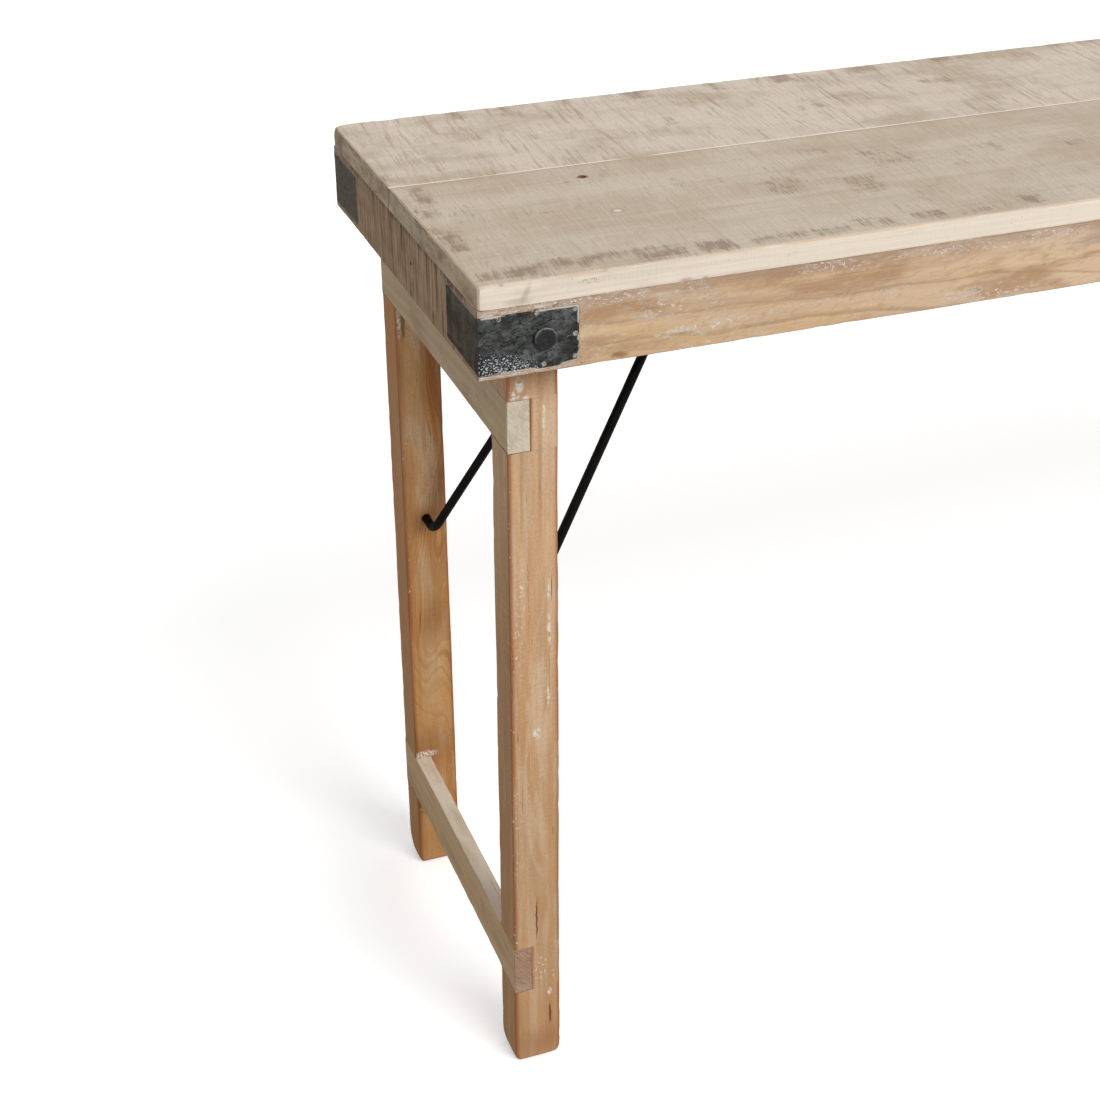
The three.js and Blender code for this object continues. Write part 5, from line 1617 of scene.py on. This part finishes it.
def make_nut(end, side, material):
    """A hexagon nut: a turned section whose outer radius at the angle t is the flat's distance over the cosine of
    the angle from the flat's middle, and at the two faces no more than the chamfer's circle."""
    node = f"pivot_nut_{end}_{side}"
    low, high = node_box(node)
    thick = high[Y] - low[Y]
    flat = min(high[X] - low[X], high[Z] - low[Z]) / 2
    bore = PIVOT_BOLT / 2 + settings().stay.hole_gap
    cut, bevel = NUT_CHAMFER, NUT_BEVEL
    section = np.array((
        (bore, bevel), (bore + bevel, 0), (flat, 0), (2 * flat, cut), (2 * flat, thick - cut), (flat, thick),
        (bore + bevel, thick), (bore, thick - bevel)))
    points, faces = turned(*section.T, NUT_SIDES, closed=True)
    angle = np.arctan2(points[:, 1], points[:, 0])
    turn = math.pi / 3
    hexagon = flat / np.cos((angle + turn / 2) % turn - turn / 2)
    size = np.hypot(points[:, 0], points[:, 1])
    points[:, :2] *= (np.minimum(size, hexagon) / size)[:, None]
    flats_upright = high[X] - low[X] < high[Z] - low[Z]
    placed = along_bolt(points if flats_upright else points[:, (1, 0, 2)], low, high)
    return make_piece(f"{node}_steel", placed, wound(faces, not flats_upright), material, node, "bolt_steel",
                      sharp=25)


def make_stay(end, material):
    """A stay: a round bar carried along a flat path of five straight runs joined by four bends, from one leg's hole
    to the other's. The ring at a point is r cos t across the bar and r sin t along the path's own normal."""
    stay = settings().stay
    node = f"stay_{end}"
    pivot, swing = joint_place(f"leg_fold_{end}"), joint_place(f"stay_swing_{end}")
    outer = np.abs(np.stack(node_box(f"leg_{end}_front"))[:, X]).max()
    hook_x, hook_z = WAY[end] * (outer - stay.hook_inset), pivot[Z] - stay.hook_drop
    tip, arm = node_box(node)[1][Y], stay.crossbar / 2
    elbow = tip + stay.hole_gap - stay.stand_off
    corners = [
        (hook_x, -tip, hook_z), (hook_x, -elbow, hook_z), (swing[X], -arm, swing[Z]),
        (swing[X], arm, swing[Z]), (hook_x, elbow, hook_z), (hook_x, tip, hook_z)]
    path = rounded_path(corners, [stay.hook_bend, stay.shoulder_bend, stay.shoulder_bend, stay.hook_bend],
                        math.radians(5))
    first, last = path[:1] + (0, BAR_BEVEL, 0), path[-1:] - (0, BAR_BEVEL, 0)
    path = np.concatenate((path[:1], first, path[1:-1], last, path[-1:]))
    radii = np.full(len(path), stay.bar / 2)
    radii[[0, -1]] -= BAR_BEVEL
    slope = np.array((swing[X] - hook_x, 0, swing[Z] - hook_z))
    normal = np.cross((0, 1, 0), slope / np.linalg.norm(slope))
    across = np.cross(directions(path), normal)
    angle = np.arange(stay.sides) / stay.sides * math.tau
    points = path[:, None, :] + radii[:, None, None] * (
        np.cos(angle)[None, :, None] * across[:, None, :] + np.sin(angle)[None, :, None] * normal)
    faces = tube_quads(len(path), stay.sides)
    count = len(path) * stay.sides
    faces = [list(range(stay.sides))[::-1], list(range(count - stay.sides, count)), *faces]
    points = points.reshape(-1, 3)
    return make_piece(f"{node}_bar", points, wound(faces, True), material, node, "stay_iron", sharp=60)


# Stage

FLOOR_LIFT = 0.36
KEY_FROM = (0.34, -0.9, 0.78)
KEY_WIDTH = math.radians(35)
KEY_COLOUR = (1.0, 0.985, 0.955)
# The part of a unit direction to the left and right over which the world grows darker and paler
WORLD_REACH = 0.8


def seen_by(tree, *kinds):
    """1 for these kinds of ray, and 0 for others."""
    path = add_node(tree, "ShaderNodeLightPath").outputs
    total = path[kinds[0]]
    for kind in kinds[1:]:
        total = add_node(tree, "ShaderNodeMath", {0: total, 1: path[kind]}, operation="MAXIMUM").outputs[0]
    return total


def make_floor(stage):
    """A wide pale floor. The camera sees it white but for the table's shadow, and nothing of it from below."""
    half = stage.floor_half
    mesh = bpy.data.meshes.new("floor")
    mesh.from_pydata([(-half, -half, 0), (half, -half, 0), (half, half, 0), (-half, half, 0)], [], [(0, 1, 2, 3)])
    floor = bpy.data.objects.new("floor", mesh)
    bpy.context.scene.collection.objects.link(floor)
    material = bpy.data.materials.new("pale_floor")
    material.use_nodes = True
    tree = material.node_tree
    tree.nodes.clear()
    seen = seen_by(tree, "Is Camera Ray", "Is Glossy Ray")
    pale = add_node(tree, "ShaderNodeMix", {
        0: seen, 6: (*[stage.floor_bounce] * 3, 1), 7: (*[stage.floor_tone] * 3, 1)}, data_type="RGBA")
    plain = add_node(tree, "ShaderNodeBsdfDiffuse", {"Color": pale.outputs[2]})
    lift = add_node(tree, "ShaderNodeMath", {0: seen, 1: FLOOR_LIFT}, operation="MULTIPLY")
    glow = add_node(tree, "ShaderNodeEmission", {"Strength": lift.outputs[0]})
    both = add_node(tree, "ShaderNodeAddShader", {0: plain.outputs[0], 1: glow.outputs[0]})
    below = add_node(tree, "ShaderNodeNewGeometry").outputs["Backfacing"]
    clear = add_node(tree, "ShaderNodeBsdfTransparent")
    pick = add_node(tree, "ShaderNodeMixShader", {0: below, 1: both.outputs[0], 2: clear.outputs[0]})
    add_node(tree, "ShaderNodeOutputMaterial", {"Surface": pick.outputs[0]})
    mesh.materials.append(material)


def make_light(stage):
    """A soft lamp from the front, high and to the right, and a world that is darker to the left. The camera and
    glossy rays see the world white."""
    lamp = bpy.data.lights.new("key", "SUN")
    lamp.energy = stage.key
    lamp.angle = KEY_WIDTH
    lamp.color = KEY_COLOUR
    key = bpy.data.objects.new("key", lamp)
    key.rotation_euler = Vector(KEY_FROM).to_track_quat("Z", "Y").to_euler()
    bpy.context.scene.collection.objects.link(key)
    world = bpy.data.worlds.new("studio")
    world.use_nodes = True
    bpy.context.scene.world = world
    tree = world.node_tree
    ground = tree.nodes["Background"]
    ground.inputs["Color"].default_value = (1.0, 1.0, 1.0, 1.0)
    way = add_node(tree, "ShaderNodeSeparateXYZ", {0: add_node(tree, "ShaderNodeTexCoord").outputs["Generated"]})
    slope = add_node(tree, "ShaderNodeMapRange", {
        "Value": way.outputs["X"], "From Min": -WORLD_REACH, "From Max": WORLD_REACH,
        "To Min": stage.shade, "To Max": stage.fill})
    seen = seen_by(tree, "Is Camera Ray", "Is Glossy Ray", "Is Transmission Ray")
    level = add_node(tree, "ShaderNodeMix", {0: seen, 2: slope.outputs[0], 3: 1.0})
    feed(tree, ground.inputs["Strength"], level.outputs[0])


def make_camera(stage):
    data = bpy.data.cameras.new("camera")
    data.sensor_width = 36.0
    data.lens = stage.lens / MM
    data.clip_start = 0.05
    data.clip_end = 200.0
    camera = bpy.data.objects.new("camera", data)
    turn = (Matrix.Rotation(-stage.yaw, 4, "Z") @ Matrix.Rotation(math.pi / 2 - stage.pitch, 4, "X")
            @ Matrix.Rotation(stage.roll, 4, "Z"))
    camera.matrix_world = Matrix.Translation((stage.camera_x, stage.camera_y, stage.camera_z)) @ turn
    bpy.context.scene.collection.objects.link(camera)
    bpy.context.scene.camera = camera


# Operators


class TABLE_OT_boards(Operator):
    """Make the two sanded boards of the top"""
    bl_idname = "console_table.boards"
    bl_label = "Top Boards"

    def execute(self, context):
        material = board_finish()
        for side in SIDES:
            make_board(side, material)
        return {"FINISHED"}


class TABLE_OT_aprons(Operator):
    """Make the side aprons and the end aprons"""
    bl_idname = "console_table.aprons"
    bl_label = "Aprons"

    def execute(self, context):
        arris = settings(context).timber.sawn_arris
        side_wood, end_wood = side_finish(), end_finish()
        xs, ys, zs = recess_lines()
        for n, side in enumerate(SIDES):
            make_bar(f"{side}_apron", X, arris, CLOSE_ARRIS, side_wood, "side_wood", 21 + 5 * n, sink_plates,
                     (xs, (), zs), crisp_top, 0.7)
        for n, end in enumerate(ENDS):
            make_bar(f"end_apron_{end}", Y, arris, CLOSE_ARRIS, end_wood, "end_wood", 31 + 5 * n, sink_plates,
                     ((), ys, zs), crisp_top, 0.7)
        return {"FINISHED"}


class TABLE_OT_battens(Operator):
    """Make the battens under the top"""
    bl_idname = "console_table.battens"
    bl_label = "Battens"

    def execute(self, context):
        arris, wood = settings(context).timber.sawn_arris, batten_finish()
        for n, place in enumerate(("left", "middle", "right")):
            make_bar(f"batten_{place}", Y, arris, arris, wood, "batten_wood", 51 + 5 * n, cut_batten_ends)
        return {"FINISHED"}


class TABLE_OT_legs(Operator):
    """Make the four legs"""
    bl_idname = "console_table.legs"
    bl_label = "Legs"

    def execute(self, context):
        for n, (end, side) in enumerate(CORNERS):
            make_leg(end, side, leg_finish(end, side), 71 + 5 * n)
        return {"FINISHED"}


class TABLE_OT_rails(Operator):
    """Make the upper and lower rails of both leg frames"""
    bl_idname = "console_table.rails"
    bl_label = "Rails"

    def execute(self, context):
        timber, wood = settings(context).timber, rail_finish()
        radii = {"upper_rail": timber.upper_rail_arris, "lower_rail": timber.lower_rail_arris}
        for n, (rail, end) in enumerate(product(radii, ENDS)):
            make_bar(f"{rail}_{end}", Y, radii[rail], timber.end_arris, wood, "rail_wood", 91 + 5 * n,
                     corner_share=crisp_ends, wear=0.6)
        return {"FINISHED"}


class TABLE_OT_plates(Operator):
    """Make the corner plates and their nails"""
    bl_idname = "console_table.plates"
    bl_label = "Corner Plates"

    def execute(self, context):
        sheet, heads = plate_finish(), nail_finish()
        for n, (end, side) in enumerate(CORNERS):
            make_plate(end, side, sheet, 111 + 5 * n)
            make_nails(end, side, heads)
        return {"FINISHED"}


class TABLE_OT_pivots(Operator):
    """Make the pivot bolts, washers and nuts"""
    bl_idname = "console_table.pivots"
    bl_label = "Pivot Bolts"

    def execute(self, context):
        black, zinc = bolt_finish(), zinc_finish()
        for end, side in CORNERS:
            make_bolt(end, side, black)
            make_washer(end, side, zinc)
            make_nut(end, side, zinc)
        return {"FINISHED"}


class TABLE_OT_stays(Operator):
    """Make the bent stays, and finish the clips and screws that hold them"""
    bl_idname = "console_table.stays"
    bl_label = "Stays"

    def execute(self, context):
        black, zinc = bar_finish(), zinc_finish()
        for end in ENDS:
            make_stay(end, black)
            held = [f"stay_clip_{end}_{side}" for side in SIDES] + [f"clip_screw_{end}_{n}" for n in range(1, 5)]
            for node in held:
                for part in frame["nodes"][node].material_slots:
                    part.material = zinc
        return {"FINISHED"}


class TABLE_OT_stage(Operator):
    """Make the floor, the light and the camera"""
    bl_idname = "console_table.stage"
    bl_label = "Stage"

    def execute(self, context):
        stage = settings(context).stage
        make_floor(stage)
        make_light(stage)
        make_camera(stage)
        context.scene.view_settings.view_transform = "Standard"
        return {"FINISHED"}


STEPS = (
    TABLE_OT_stage, TABLE_OT_boards, TABLE_OT_aprons, TABLE_OT_battens, TABLE_OT_legs, TABLE_OT_rails,
    TABLE_OT_plates, TABLE_OT_pivots, TABLE_OT_stays,
)


class TABLE_PT_panel(Panel):
    """The steps that dress the table, in order"""
    bl_idname = "TABLE_PT_panel"
    bl_label = "Console Table"
    bl_space_type = "VIEW_3D"
    bl_region_type = "UI"
    bl_category = "Console Table"

    def draw(self, context):
        for step in STEPS:
            self.layout.operator(step.bl_idname)


CLASSES = (
    TimberSettings, TimberColours, IronSettings, StaySettings, StageSettings, TableSettings, *STEPS, TABLE_PT_panel)


def register():
    for cls in CLASSES:
        bpy.utils.register_class(cls)
    bpy.types.Scene.console_table = PointerProperty(type=TableSettings)


def unregister():
    del bpy.types.Scene.console_table
    for cls in reversed(CLASSES):
        bpy.utils.unregister_class(cls)


def main():
    register()
    for step in STEPS:
        family, title = step.bl_idname.split(".")
        getattr(getattr(bpy.ops, family), title)()


if __name__ == "__main__":
    main()
